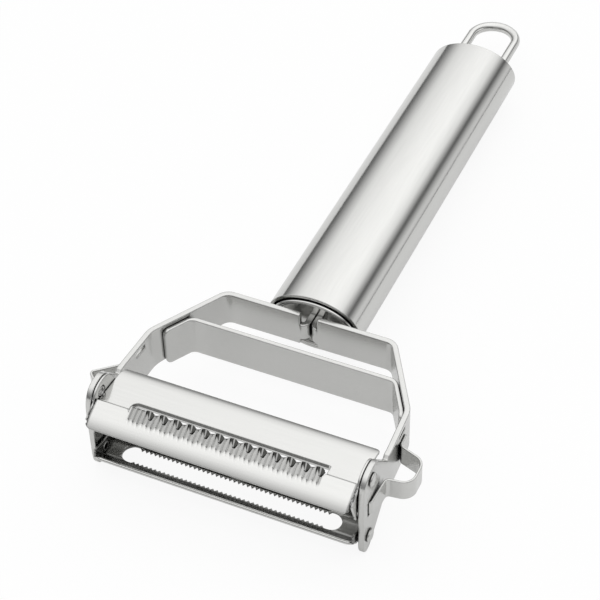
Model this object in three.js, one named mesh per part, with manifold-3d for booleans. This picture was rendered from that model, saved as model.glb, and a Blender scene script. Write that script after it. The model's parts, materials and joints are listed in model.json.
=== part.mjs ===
// Double-sided Y peeler of stainless steel: a julienne blade above, a serrated blade below, both swivelling
// between the lugs of a bent strip yoke, with an eye gouge on each side and an oval tube handle.
// Millimetres. X runs across the head, Y from the blades to the handle, Z up. Sizes are set in the tool's
// own frame, where the yoke's top edge is at z = 0 and the blades are near y = 0. The last step lays the tool
// on a table, on its lug tips and the heel of its handle.
import * as THREE from "three";
import { mergeVertices } from "three/addons/utils/BufferGeometryUtils.js";
import Module from "manifold-3d";

const wasm = await Module();
wasm.setup();

// Fits
const weldGap = 0.05; // between sheets that are spot welded face to face
const runningGap = 0.15; // radial, blade ear on its rivet
const fixedGap = 0.06; // radial, rivet shank in a lug or tang, and round other fixed pieces
const julienneEndGap = 0.5; // between the julienne blade's ear and the lug
const serratedEndGap = 0.3; // between the serrated blade's ear and the lug
const facets = 20; // sides of small round pieces
const bendSteps = 6; // chords in each bend of a strip
const margin = 1; // how far a cutting solid reaches past what it cuts

// Yoke strip
const yokeSheet = 1.5;
const headHalfWidth = 36.4; // outer face of a lug
const crossbarRear = 46.3; // rear face of the crossbar
const crossbarHeight = 10;
const armHeight = 12.3;
const obliqueReach = 11.7; // of the oblique run between the crossbar's bend and the arm's, along X
const shoulderRadius = 3.5; // bend from crossbar to oblique run
const elbowY = 25.5; // bend from oblique run to arm
const elbowRadius = 6;
const armSplay = 0.75; // how much further out the lug stands than the arm's rear end
const splayEnd = 12; // the arms spread down to here, and the lugs in front of it are parallel
const splayRadius = 12;

// Tang: the two inner ends of the strips, bent back to back into the handle
const tangSeam = 0.3;
const tangBendRadius = 1.6;
const tangTop = -3.4;
const tangBottom = -8.4;
const tangReach = 18; // behind the crossbar's rear face
const tangNotch = 2.4; // half width of the reliefs above and below the tang bend
const tangRivetSet = 12.5; // rivet's distance behind the crossbar
const tangRivetRadius = 1.2;
const tangRivetHeadRadius = 2;
const tangRivetHeadHeight = 0.7;

// Lugs, side outline round the two pivots
const juliennePivot = { y: -0.5, z: 3.1 };
const serratedPivot = { y: -2.1, z: -15.1 };
const lugRear = 9.4; // foot of the notch where the lug leaves the arm
const lugNotch = 0.9; // depth of that notch
const lugShoulder = { y: 4.4, z: 4.4 }; // end of the straight rear edge
const lugApex = { y: 0.6, z: 6.4 };
const lugFront = -5.3;
const lugFrontTop = -2; // where the rounded top becomes the straight front edge
const lugBottom = -19.8;
const lugTip = -2.8; // lowest point of the rounded lower end
const lugTipRise = 4; // of that rounding, at the front
const lugTipRear = { y: -0.6, z: -18.9 }; // where the rounding becomes the slanted rear edge
const lugHeel = { y: 6.6, z: -12.3 }; // where that edge meets the arm
const lugRounding = 1.2; // of the outline's soft corners

// Cross brace
const braceSheet = 1.2;
const braceFront = 33.9; // front face
const braceTop = -1.2;
const braceHeight = 11.6;
const braceBendRadius = 2.6;
const braceLegEnd = 28.4; // front end of the left leg, along Y
const braceLongLegEnd = 23.8; // front end of the right leg, which follows the arm round its elbow
const braceCornerRadius = 1.6;

// Rivets of the blade pivots
const rivetRadius = 1.2;
const rivetHeadRadius = 1.75;
const rivetHeadHeight = 0.9;
const rivetHeadRim = 0.3; // straight edge under the dome
const rivetTailRadius = 1.8;
const rivetTailThickness = 0.35;
const rivetBoreRadius = 0.75; // hollow end of the rolled tail
const rivetBoreDepth = 1.1;

// Both blades
const bladeSheet = 0.6;
const bladeCorner = 1.3; // rounding of a blade plate's corners, in plan
const earRadius = 2.5;
const earInset = 0.7; // of the julienne blade's ear, inside the lug's outline
const tailGap = 0.12; // between a rivet's rolled tail and the ear
const tailRelief = 0.35; // round the tail, in the end of a blade plate

// Julienne blade, side section of its two halves on the sheet's centre line
const rearLip = { y: -2.4, z: 1.93 };
const rearKnee = { y: 8.95, z: 0.93 };
const rearEdge = { y: 10.7, z: 0.15 };
const rearKneeRadius = 8.75;
const frontLip = { y: -3.4, z: 3.0 };
const frontKnee = { y: -8.25, z: 0.66 };
const frontEdge = { y: -9.62, z: -0.75 };
const frontKneeRadius = 8.75;

// Julienne teeth: flutes pressed into the front half, that end in a row of points under the rear half's lip
const toothCount = 14;
const openingEnd = 8.57; // from the blade's end to the opening that holds the teeth
const toothRoot = -6.6; // where the flutes fade into the plate
const toothEdge = -0.85; // points of the teeth, along Y
const toothTopZ = 2.35; // ridge of a tooth at its point
const toothFloorZ = 1.2; // floor between two teeth, at the edge
const toothFloorEdge = -1.25; // edge of that floor, along Y
const toothRidge = 0.4; // a ridge's place in its pitch
const toothFoot = 0.72; // foot of the right flank
const openingRear = 0.35; // rear edge of the opening
const openingCorner = 1.3;
const flutedLap = 0.2; // of the fluted sheet in the plate that it is pressed from

// Julienne end flange
const julienneTailFront = -6.2;
const julienneTailRear = -2.4;
const julienneTailBottom = -7.2;
const julienneFlangeRear = 6.4;
const julienneFlangeDrop = -1.2;
const flangeStep = 1; // slope at each end of the flange's straight lower edge
const tailHoleRadius = 1;
const tailHoleInset = 1.9; // of the small hole, from the tail's lower end

// Serrated blade, side section on the sheet's centre line
const troughRear = { y: 3.3, z: -13.7 };
const troughFloorRear = 0.7;
const troughFloorFront = -4.7;
const troughFloorZ = -15.35;
const troughFront = { y: -7.2, z: -13.9 };
const troughRadius = 3;
const slotEnd = 5.3; // from the blade's end to the slot
const slotRear = 0.7;
const slotFront = -4.6;
const sawPitch = 1.2;
const sawDepth = 0.5;
const sawMargin = 2.4; // plain length of slot edge at each end
const serratedFlangeFrontTop = -11.6;
const serratedFlangeRearTop = -12.6;

// Eye gouges: strips looped outside the arms. The left one is pinched to a point, the right one is round.
const gougeSheet = 0.6;
const gougeTop = -3.5;
const gougeBottom = -9.5;
const gougeFootRear = 21.8;
const gougeStand = 0.45; // distance of the loop's front bend from the lug
const gougeTabY = -1.8; // tab in the lug's slot
const gougeTabTop = -3.6;
const gougeTabBottom = -7.6;
const gougeBendRadius = 0.9;
const gougeSlotGap = 0.25;
const gougeSlotSpare = 0.4; // further room in front of the tab and below it
const footSlot = { front: 17.4, rear: 21.6, bottom: -2.7, top: -1.3 }; // in the arm, over the gouge's foot
const gougeReach = 7.2; // of the loop's outer face, from the lug's
const roundLoop = { leaves: 17.2, noseRear: 14.9, noseFront: 7.1, noseRadius: 3.2, returns: 6.3 };
const pinchedLoop = { leaves: 15.9, noseRear: 10, noseFront: 9.2, noseRadius: 0.5, returns: 3.4 };

// Handle
const handleHalfWidth = 12.9;
const handleHalfHeight = 8.85;
const handleZ = -5; // axis
const handleFront = 48.2;
const handleLength = 117.5;
const handleWall = 0.9;
const handleFacets = 32; // half the sides of the oval
const plugGap = 0.25;
const plugStand = 0.7; // the plug's bead in front of the tube
const plugLength = 8;
const plugSheet = 1.0;
const plugRim = 1.3; // width of the bead round the dish
const plugDish = 2.4; // depth of the dish
const plugBead = 0.5; // rounding of the bead
const tangSlotGap = 0.25;
const capThickness = 1.2;
const capSkirt = 6;

// Hanging loop
const wireRadius = 1.4;
const loopHalfWidth = 6.8; // to the wire's centre line
const loopReach = 24.4; // outside the handle
const loopTail = 4.5; // inside the cap
const wireSides = 7; // half the sides of the wire's section
const loopSteps = 40; // lengths of wire between sections

const steelYoke = new THREE.MeshStandardMaterial({ color: 0xc4c4c2, roughness: 0.32, metalness: 1 });
const steelBlade = new THREE.MeshStandardMaterial({ color: 0xdedede, roughness: 0.22, metalness: 1 });
const steelHandle = new THREE.MeshStandardMaterial({ color: 0xd6d6d4, roughness: 0.26, metalness: 1 });
const steelRivet = new THREE.MeshStandardMaterial({ color: 0xb4b4b2, roughness: 0.3, metalness: 1 });
const steelPlug = new THREE.MeshStandardMaterial({ color: 0xcacac8, roughness: 0.2, metalness: 1 });

// Shape axes to space. A plan keeps X and Y and is raised along Z. A side view reads Y and Z and is drawn out
// along X.
const sideView = new THREE.Matrix4().makeBasis(
  new THREE.Vector3(0, 1, 0),
  new THREE.Vector3(0, 0, 1),
  new THREE.Vector3(1, 0, 0),
);
// A front view reads X and Z and is drawn out along Y.
const frontView = new THREE.Matrix4().makeBasis(
  new THREE.Vector3(-1, 0, 0),
  new THREE.Vector3(0, 0, 1),
  new THREE.Vector3(0, 1, 0),
);

/** A closed geometry as a solid that can be joined and cut. */
function solid(geometry) {
  const bare = geometry.clone();
  bare.deleteAttribute("normal");
  bare.deleteAttribute("uv");
  const merged = mergeVertices(bare, 1e-4);
  return new wasm.Manifold(
    new wasm.Mesh({
      numProp: 3,
      vertProperties: merged.attributes.position.array,
      triVerts: new Uint32Array(merged.index.array),
    }),
  );
}

/** The surface of a joined and cut solid. */
function surface(shape) {
  const { vertProperties, triVerts } = shape.getMesh();
  const geometry = new THREE.BufferGeometry();
  geometry.setAttribute("position", new THREE.BufferAttribute(vertProperties, 3));
  geometry.setIndex(new THREE.BufferAttribute(triVerts, 1));
  return geometry;
}

function piece(name, shape, material) {
  const geometry = surface(shape);
  geometry.computeVertexNormals();
  const mesh = new THREE.Mesh(geometry, material);
  mesh.name = name;
  return mesh;
}

/** A piece drawn for the right-hand side, on the left-hand one. */
function mirrored(name, shape, material) {
  const mesh = piece(name, shape, material);
  mesh.scale.x = -1;
  return mesh;
}

function extruded(shape, from, to, view = null, segments = 12) {
  const options = { depth: to - from, bevelEnabled: false, curveSegments: segments };
  const geometry = new THREE.ExtrudeGeometry(shape, options).translate(0, 0, from);
  return solid(view ? geometry.applyMatrix4(view) : geometry);
}

function box(x0, x1, y0, y1, z0, z1) {
  const geometry = new THREE.BoxGeometry(x1 - x0, y1 - y0, z1 - z0);
  return solid(geometry.translate((x0 + x1) / 2, (y0 + y1) / 2, (z0 + z1) / 2));
}

/** A round bar along X through a point of the side view. */
function crossBar(at, radius, x0, x1) {
  const geometry = new THREE.CylinderGeometry(radius, radius, x1 - x0, facets);
  return solid(geometry.rotateZ(-Math.PI / 2).translate((x0 + x1) / 2, at.y, at.z));
}

/** Points along straight runs joined by round bends, each with the direction of the run there. */
function bentLine(corners) {
  const line = [];
  corners.forEach(([x, y, radius = 0], i) => {
    const corner = new THREE.Vector2(x, y);
    const before = i > 0 ? corner.clone().sub(new THREE.Vector2(...corners[i - 1])).normalize() : null;
    const after =
      i < corners.length - 1 ? new THREE.Vector2(...corners[i + 1]).sub(corner).normalize() : null;
    if (!before || !after || radius === 0) {
      line.push({ point: corner, direction: before || after });
      return;
    }
    const turn = Math.atan2(before.cross(after), before.dot(after));
    const start = corner.clone().addScaledVector(before, -radius * Math.tan(Math.abs(turn) / 2));
    const side = new THREE.Vector2(-before.y, before.x).multiplyScalar(Math.sign(turn));
    for (let step = 0; step <= bendSteps; step += 1) {
      const angle = (Math.abs(turn) * step) / bendSteps;
      const point = start
        .clone()
        .addScaledVector(before, radius * Math.sin(angle))
        .addScaledVector(side, radius * (1 - Math.cos(angle)));
      const direction = before
        .clone()
        .multiplyScalar(Math.cos(angle))
        .addScaledVector(side, Math.sin(angle));
      line.push({ point, direction });
    }
  });
  return line;
}

/** A bent strip of sheet seen on edge: half the sheet on each side of its centre line. */
function stripShape(corners, sheet) {
  const line = bentLine(corners);
  const offset = (amount) =>
    line.map(({ point, direction }) =>
      point.clone().addScaledVector(new THREE.Vector2(-direction.y, direction.x), amount),
    );
  return new THREE.Shape([...offset(sheet / 2), ...offset(-sheet / 2).reverse()]);
}

function roundedRectangle(x0, x1, y0, y1, radius) {
  const shape = new THREE.Shape();
  shape.moveTo(x0 + radius, y0);
  shape.lineTo(x1 - radius, y0);
  shape.absarc(x1 - radius, y0 + radius, radius, -Math.PI / 2, 0, false);
  shape.lineTo(x1, y1 - radius);
  shape.absarc(x1 - radius, y1 - radius, radius, 0, Math.PI / 2, false);
  shape.lineTo(x0 + radius, y1);
  shape.absarc(x0 + radius, y1 - radius, radius, Math.PI / 2, Math.PI, false);
  shape.lineTo(x0, y0 + radius);
  shape.absarc(x0 + radius, y0 + radius, radius, Math.PI, Math.PI * 1.5, false);
  return shape;
}

// Derived places
const lugX = headHalfWidth - yokeSheet / 2;
const lugInner = headHalfWidth - yokeSheet;
const elbowX = lugX - armSplay;
const shoulderX = elbowX - obliqueReach;
const julienneHalfLength = lugInner - julienneEndGap;
const serratedHalfLength = lugInner - serratedEndGap;
const openingHalf = julienneHalfLength - openingEnd;
const toothPitch = (2 * openingHalf) / toothCount;
const slotHalfLength = serratedHalfLength - slotEnd;
const crossbarY = crossbarRear - yokeSheet / 2;
const tangX = (tangSeam + yokeSheet) / 2;
const tangEnd = crossbarRear + tangReach;
const gougeOffset = weldGap + gougeSheet / 2; // from a face of the yoke to the gouge's centre line on it
const tangRivetAt = { y: crossbarRear + tangRivetSet, z: (tangTop + tangBottom) / 2 };

/** Side outline shared by the whole strip: crossbar, taper, arm and lug. */
function yokeOutline() {
  const shape = new THREE.Shape();
  shape.moveTo(tangEnd + margin, 0);
  shape.lineTo(lugRear + lugNotch, 0);
  shape.lineTo(lugRear, -lugNotch);
  shape.lineTo(lugShoulder.y, lugShoulder.z);
  shape.quadraticCurveTo(lugShoulder.y - lugRounding, lugApex.z, lugApex.y, lugApex.z);
  shape.bezierCurveTo(lugFront + lugRounding, lugApex.z, lugFront, juliennePivot.z, lugFront, lugFrontTop);
  shape.lineTo(lugFront, lugBottom + lugTipRise);
  shape.quadraticCurveTo(lugFront, lugBottom, lugTip, lugBottom);
  shape.quadraticCurveTo(lugTip + lugRounding, lugBottom, lugTipRear.y, lugTipRear.z);
  shape.lineTo(lugHeel.y - lugRounding, lugHeel.z - lugRounding);
  shape.quadraticCurveTo(lugHeel.y, lugHeel.z, lugHeel.y + lugRounding, -armHeight);
  shape.lineTo(elbowY, -armHeight);
  shape.lineTo(crossbarY - shoulderRadius, -crossbarHeight);
  shape.lineTo(tangEnd + margin, -crossbarHeight);
  return shape;
}

/** Outer face of an arm at a given Y, between its elbow and its lug. */
function armFace(y) {
  const share = THREE.MathUtils.clamp((elbowY - y) / (elbowY - splayEnd), 0, 1);
  return elbowX + (lugX - elbowX) * share + yokeSheet / 2;
}

function yokeHalf() {
  const plan = stripShape(
    [
      [tangX, tangEnd],
      [tangX, crossbarY, tangBendRadius],
      [shoulderX, crossbarY, shoulderRadius],
      [elbowX, elbowY, elbowRadius],
      [lugX, splayEnd, splayRadius],
      [lugX, lugFront - margin],
    ],
    yokeSheet,
  );
  const strip = extruded(plan, lugBottom - margin, lugApex.z + margin);
  const profile = extruded(yokeOutline(), -margin, headHalfWidth + margin, sideView);
  const reliefFront = crossbarRear - yokeSheet - margin;
  const gougeSlotHalf = gougeSheet / 2 + gougeSlotGap;
  return strip
    .intersect(profile)
    .subtract(box(-margin, tangNotch, reliefFront, tangEnd + margin, tangTop, margin))
    .subtract(box(-margin, tangNotch, reliefFront, tangEnd + margin, -crossbarHeight - margin, tangBottom))
    .subtract(crossBar(tangRivetAt, tangRivetRadius + fixedGap, -margin, tangX + yokeSheet))
    .subtract(crossBar(juliennePivot, rivetRadius + fixedGap, lugInner - margin, headHalfWidth + margin))
    .subtract(crossBar(serratedPivot, rivetRadius + fixedGap, lugInner - margin, headHalfWidth + margin))
    .subtract(
      box(
        lugInner - margin,
        headHalfWidth + margin,
        gougeTabY - gougeSlotHalf - gougeSlotSpare,
        gougeTabY + gougeSlotHalf,
        gougeTabBottom - gougeSlotGap - gougeSlotSpare,
        gougeTabTop + gougeSlotGap,
      ),
    )
    .subtract(
      box(
        lugInner - armSplay - margin,
        headHalfWidth + margin,
        footSlot.front,
        footSlot.rear,
        footSlot.bottom,
        footSlot.top,
      ),
    );
}

/** A line along a straight run of the yoke, set inwards from its centre line: X at a given Y, and X per Y. */
function insideRun(from, to, inset) {
  const run = new THREE.Vector2(to.x - from.x, to.y - from.y).normalize();
  const inwards = new THREE.Vector2(run.y, -run.x);
  const start = new THREE.Vector2(from.x, from.y).addScaledVector(inwards, inset);
  const slope = run.x / run.y;
  return { slope, at: (y) => start.x + (y - start.y) * slope };
}

/** A bar between two legs, which lie inside the oblique runs. The right one also lies inside the arm. */
function crossBrace() {
  const inset = (yokeSheet + braceSheet) / 2 + weldGap;
  const barY = braceFront + braceSheet / 2;
  const elbow = { x: elbowX, y: elbowY };
  const oblique = insideRun({ x: shoulderX, y: crossbarY }, elbow, inset);
  const arm = insideRun(elbow, { x: lugX, y: splayEnd }, inset);
  const corner = oblique.at(barY);
  const elbowCorner = barY + (arm.at(barY) - corner) / (oblique.slope - arm.slope);
  const plan = stripShape(
    [
      [-oblique.at(braceLegEnd), braceLegEnd],
      [-corner, barY, braceBendRadius],
      [corner, barY, braceBendRadius],
      [oblique.at(elbowCorner), elbowCorner, elbowRadius - inset],
      [arm.at(braceLongLegEnd), braceLongLegEnd],
    ],
    braceSheet,
  );
  const outline = (legEnd) =>
    roundedRectangle(
      legEnd,
      barY + margin + braceCornerRadius,
      braceTop - braceHeight,
      braceTop,
      braceCornerRadius,
    );
  const left = extruded(outline(braceLegEnd - braceSheet / 2), -headHalfWidth, 0, sideView);
  const right = extruded(outline(braceLongLegEnd), 0, headHalfWidth, sideView);
  return extruded(plan, braceTop - braceHeight, braceTop).intersect(left.add(right));
}

/** A pivot rivet along X: domed head outside the lug, hollow shank, tail rolled out inside the blade ear. */
function pivotRivet(at, earOuter) {
  const headFace = headHalfWidth + weldGap;
  const tailOuter = earOuter - bladeSheet - tailGap;
  const tailInner = tailOuter - rivetTailThickness;
  const profile = [];
  const put = (radius, x) => profile.push(new THREE.Vector2(radius, x));
  put(0, tailInner + rivetBoreDepth);
  put(rivetBoreRadius, tailInner + rivetBoreDepth);
  put(rivetBoreRadius, tailInner + rivetTailThickness / 2);
  put((rivetBoreRadius + rivetTailRadius) / 2, tailInner);
  put(rivetTailRadius, tailInner + rivetTailThickness / 2);
  put(rivetTailRadius, tailOuter);
  put(rivetRadius, tailOuter);
  put(rivetRadius, headFace);
  put(rivetHeadRadius, headFace);
  for (let step = 0; step <= bendSteps; step += 1) {
    const angle = (Math.PI / 2) * (step / bendSteps);
    const rise = rivetHeadRim + (rivetHeadHeight - rivetHeadRim) * Math.sin(angle);
    put(rivetHeadRadius * Math.cos(angle), headFace + rise);
  }
  profile[profile.length - 1].x = 0;
  const geometry = new THREE.LatheGeometry(profile, facets);
  return solid(geometry.rotateZ(-Math.PI / 2).translate(0, at.y, at.z));
}

/** The rivet through both tang halves, with a low head on each side. */
function tangRivet() {
  const face = tangX + yokeSheet / 2 + weldGap;
  const top = face + tangRivetHeadHeight;
  return crossBar(tangRivetAt, tangRivetRadius, -top, top)
    .add(crossBar(tangRivetAt, tangRivetHeadRadius, face, top))
    .add(crossBar(tangRivetAt, tangRivetHeadRadius, -top, -face));
}

/**
 * A fluted sheet: a grid of points given half the sheet above and below, closed round its rim.
 * pointAt takes a column and a row and returns a point of the sheet's centre.
 */
function flutedSheet(columns, rows, pointAt, sheet) {
  const positions = [];
  const index = [];
  const id = (column, row, under) => (under * columns + column) * rows + row;
  [sheet / 2, -sheet / 2].forEach((lift) => {
    for (let column = 0; column < columns; column += 1) {
      for (let row = 0; row < rows; row += 1) {
        const point = pointAt(column, row);
        positions.push(point.x, point.y, point.z + lift);
      }
    }
  });
  const quad = (a, b, c, d) => index.push(a, b, c, a, c, d);
  for (let c = 0; c < columns - 1; c += 1) {
    for (let r = 0; r < rows - 1; r += 1) {
      quad(id(c, r, 0), id(c + 1, r, 0), id(c + 1, r + 1, 0), id(c, r + 1, 0));
      quad(id(c, r, 1), id(c, r + 1, 1), id(c + 1, r + 1, 1), id(c + 1, r, 1));
    }
    quad(id(c, 0, 0), id(c, 0, 1), id(c + 1, 0, 1), id(c + 1, 0, 0));
    quad(id(c, rows - 1, 0), id(c + 1, rows - 1, 0), id(c + 1, rows - 1, 1), id(c, rows - 1, 1));
  }
  for (let r = 0; r < rows - 1; r += 1) {
    const last = columns - 1;
    quad(id(0, r, 0), id(0, r + 1, 0), id(0, r + 1, 1), id(0, r, 1));
    quad(id(last, r, 0), id(last, r, 1), id(last, r + 1, 1), id(last, r + 1, 0));
  }
  const geometry = new THREE.BufferGeometry();
  geometry.setAttribute("position", new THREE.BufferAttribute(new Float32Array(positions), 3));
  geometry.setIndex(index);
  return solid(geometry);
}

/** The row of julienne teeth: in each pitch a flank up to a ridge, a steeper one down and a floor. */
function julienneTeeth() {
  const places = [
    { at: 0, height: 0 },
    { at: toothRidge, height: 1 },
    { at: toothFoot, height: 0 },
    { at: (1 + toothFoot) / 2, height: 0 },
  ];
  const rows = 6;
  const columns = toothCount * places.length + 1;
  const slope = (frontLip.z - frontKnee.z) / (frontLip.y - frontKnee.y);
  const plateZ = (y) => frontKnee.z + (Math.min(y, frontLip.y) - frontKnee.y) * slope;
  return flutedSheet(
    columns,
    rows,
    (column, row) => {
      const { at, height } = places[column % places.length];
      const along = row / (rows - 1);
      const edgeY = toothFloorEdge + (toothEdge - toothFloorEdge) * height;
      const edgeZ = toothFloorZ + (toothTopZ - toothFloorZ) * height;
      const y = toothRoot + (edgeY - toothRoot) * along;
      const pressed = along ** (1 + height);
      const z = plateZ(y) * (1 - pressed) + edgeZ * pressed;
      const x = (Math.floor(column / places.length) + at) * toothPitch - openingHalf;
      return new THREE.Vector3(x, y, z);
    },
    bladeSheet,
  );
}

/** Side outline of the julienne blade's end flange, which ties the two halves and hangs a tail below. */
function julienneFlange() {
  const tailMiddle = (julienneTailFront + julienneTailRear) / 2;
  const tailShoulder = julienneTailBottom + tailHoleInset;
  const shape = new THREE.Shape();
  shape.moveTo(frontLip.y, frontLip.z);
  shape.lineTo(frontKnee.y, frontKnee.z);
  shape.lineTo(julienneTailFront, tailShoulder);
  shape.quadraticCurveTo(julienneTailFront, julienneTailBottom, tailMiddle, julienneTailBottom);
  shape.quadraticCurveTo(julienneTailRear, julienneTailBottom, julienneTailRear, tailShoulder);
  shape.lineTo(julienneTailRear + flangeStep, julienneFlangeDrop);
  shape.lineTo(julienneFlangeRear - flangeStep, julienneFlangeDrop);
  shape.lineTo(julienneFlangeRear, rearKnee.z);
  shape.lineTo(rearLip.y, rearLip.z);
  return shape;
}

/** Side outline of the julienne blade's ear, which follows the lug's rounded top from inside. */
function julienneEar() {
  const front = lugFront + earInset;
  const top = lugApex.z - earInset;
  const shoulder = { y: lugShoulder.y - earInset, z: lugShoulder.z - earInset };
  const shape = new THREE.Shape();
  shape.moveTo(julienneFlangeRear - flangeStep, rearKnee.z);
  shape.lineTo(shoulder.y, shoulder.z);
  shape.quadraticCurveTo(shoulder.y - lugRounding, top, lugApex.y, top);
  shape.bezierCurveTo(front + lugRounding, top, front, juliennePivot.z, front, lugFrontTop);
  return shape;
}

/** One end ear: the flange outline joined to a round ear about the pivot. */
function endEar(outline, pivot, earOuter) {
  const earInner = earOuter - bladeSheet;
  return extruded(outline, earInner, earOuter, sideView).add(crossBar(pivot, earRadius, earInner, earOuter));
}

/** What a blade leaves free round its rivets: the ear's hole, and room for the rolled tail inside it. */
function pivotRoom(pivot, earOuter) {
  const earInner = earOuter - bladeSheet;
  const tailRoom = tailGap + rivetTailThickness + tailRelief;
  return bothEnds(
    crossBar(pivot, rivetTailRadius + tailRelief, earInner - tailRoom, earInner).add(
      crossBar(pivot, rivetRadius + runningGap, earInner - margin, earOuter + margin),
    ),
  );
}

/** The same solid on both ends of the head, from the right-hand one. */
function bothEnds(shape) {
  const geometry = surface(shape).scale(-1, 1, 1);
  const turned = geometry.index.array;
  for (let i = 0; i < turned.length; i += 3) {
    [turned[i + 1], turned[i + 2]] = [turned[i + 2], turned[i + 1]];
  }
  return shape.add(solid(geometry));
}

function julienneBlade() {
  const rearHalf = stripShape(
    [
      [rearLip.y, rearLip.z],
      [rearKnee.y, rearKnee.z, rearKneeRadius],
      [rearEdge.y, rearEdge.z],
    ],
    bladeSheet,
  );
  const frontHalf = stripShape(
    [
      [frontLip.y, frontLip.z],
      [frontKnee.y, frontKnee.z, frontKneeRadius],
      [frontEdge.y, frontEdge.z],
    ],
    bladeSheet,
  );
  const opening = roundedRectangle(
    -openingHalf,
    openingHalf,
    frontLip.y - openingCorner,
    openingRear,
    openingCorner,
  );
  const toothBay = box(
    flutedLap - openingHalf,
    openingHalf - flutedLap,
    toothRoot + flutedLap,
    openingRear,
    frontKnee.z - margin,
    lugApex.z,
  );
  const tailHole = {
    y: (julienneTailFront + julienneTailRear) / 2,
    z: julienneTailBottom + tailHoleInset,
  };
  const earInner = julienneHalfLength - bladeSheet;
  const ear = extruded(julienneEar(), earInner, julienneHalfLength, sideView, bendSteps)
    .add(endEar(julienneFlange(), juliennePivot, julienneHalfLength))
    .subtract(crossBar(tailHole, tailHoleRadius, julienneHalfLength - margin, julienneHalfLength + margin));
  const trim = roundedRectangle(
    -julienneHalfLength,
    julienneHalfLength,
    frontEdge.y - bladeSheet / 2,
    rearEdge.y + bladeSheet / 2,
    bladeCorner,
  );
  const rear = extruded(rearHalf, -julienneHalfLength, julienneHalfLength, sideView).subtract(
    extruded(opening, rearEdge.z, lugApex.z),
  );
  const front = extruded(frontHalf, -julienneHalfLength, julienneHalfLength, sideView);
  return rear
    .add(front.subtract(toothBay))
    .intersect(extruded(trim, julienneTailBottom, lugApex.z))
    .add(julienneTeeth())
    .add(bothEnds(ear))
    .subtract(pivotRoom(juliennePivot, julienneHalfLength));
}

/** Plan of the serrated slot: round ends, and saw teeth along both straight edges. */
function slotOutline() {
  const radius = (slotRear - slotFront) / 2;
  const mid = (slotRear + slotFront) / 2;
  const straight = slotHalfLength - radius;
  const toothedHalf = slotHalfLength - radius - sawMargin;
  const teeth = Math.floor((2 * toothedHalf) / sawPitch);
  const start = (teeth * sawPitch) / 2;
  const shape = new THREE.Shape();
  shape.moveTo(-straight, slotFront);
  for (let tooth = 0; tooth < teeth; tooth += 1) {
    const x = -start + tooth * sawPitch;
    shape.lineTo(x, slotFront);
    shape.lineTo(x + sawPitch / 2, slotFront + sawDepth);
  }
  shape.lineTo(start, slotFront);
  shape.lineTo(straight, slotFront);
  shape.absarc(straight, mid, radius, -Math.PI / 2, Math.PI / 2, false);
  for (let tooth = 0; tooth < teeth; tooth += 1) {
    const x = start - tooth * sawPitch;
    shape.lineTo(x, slotRear);
    shape.lineTo(x - sawPitch / 2, slotRear - sawDepth);
  }
  shape.lineTo(-start, slotRear);
  shape.lineTo(-straight, slotRear);
  shape.absarc(-straight, mid, radius, Math.PI / 2, Math.PI * 1.5, false);
  return shape;
}

function serratedFlange() {
  const shape = new THREE.Shape();
  shape.moveTo(troughFront.y, troughFront.z);
  shape.lineTo(troughFloorFront, troughFloorZ);
  shape.lineTo(troughFloorRear, troughFloorZ);
  shape.lineTo(troughRear.y, troughRear.z);
  shape.lineTo(troughRear.y - bladeSheet, serratedFlangeRearTop);
  shape.lineTo(serratedPivot.y, serratedFlangeRearTop);
  shape.lineTo(troughFront.y + bladeSheet / 2, serratedFlangeFrontTop);
  return shape;
}

function serratedBlade() {
  const section = stripShape(
    [
      [troughRear.y, troughRear.z],
      [troughFloorRear, troughFloorZ, troughRadius],
      [troughFloorFront, troughFloorZ, troughRadius],
      [troughFront.y, troughFront.z],
    ],
    bladeSheet,
  );
  const plateEnd = serratedHalfLength - bladeSheet / 2;
  return extruded(section, -plateEnd, plateEnd, sideView)
    .subtract(extruded(slotOutline(), troughFloorZ - margin, troughFloorZ + margin))
    .add(bothEnds(endEar(serratedFlange(), serratedPivot, serratedHalfLength)))
    .subtract(pivotRoom(serratedPivot, serratedHalfLength));
}

/** A gouge on the right: rear foot on the arm, loop, front foot along the lug and a tab into its slot. */
function eyeGouge({ leaves, noseRear, noseFront, noseRadius, returns }) {
  const nose = headHalfWidth + gougeReach - gougeSheet / 2;
  const lugLine = headHalfWidth + gougeOffset;
  const plan = stripShape(
    [
      [armFace(gougeFootRear) + gougeOffset, gougeFootRear],
      [armFace(leaves) + gougeOffset, leaves, gougeBendRadius],
      [nose, noseRear, noseRadius],
      [nose, noseFront, noseRadius],
      [lugLine + gougeStand, returns, gougeBendRadius],
      [lugLine, gougeTabY, gougeSheet],
      [lugInner + gougeSlotGap, gougeTabY],
    ],
    gougeSheet,
  );
  const taperStart = returns - gougeBendRadius * 2;
  const tabStart = gougeTabY + gougeStand;
  const outline = new THREE.Shape();
  outline.moveTo(gougeFootRear + margin, gougeTop);
  outline.lineTo(taperStart, gougeTop);
  outline.lineTo(tabStart, gougeTabTop);
  outline.lineTo(gougeTabY - margin, gougeTabTop);
  outline.lineTo(gougeTabY - margin, gougeTabBottom);
  outline.lineTo(tabStart, gougeTabBottom);
  outline.lineTo(taperStart, gougeBottom);
  outline.lineTo(gougeFootRear + margin, gougeBottom);
  return extruded(plan, gougeBottom - margin, gougeTop + margin).intersect(
    extruded(outline, lugInner - margin, nose + margin, sideView),
  );
}

/** An oval of the handle's form, set in from its outer surface. */
function oval(inset) {
  const shape = new THREE.Shape();
  shape.absellipse(0, handleZ, handleHalfWidth - inset, handleHalfHeight - inset, 0, Math.PI * 2, false, 0);
  return shape;
}

function ovalBar(inset, y0, y1) {
  return extruded(oval(inset), y0, y1, frontView, handleFacets);
}

function handleTube() {
  const rear = handleFront + handleLength;
  return ovalBar(0, handleFront, rear).subtract(ovalBar(handleWall, handleFront - margin, rear + margin));
}

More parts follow.
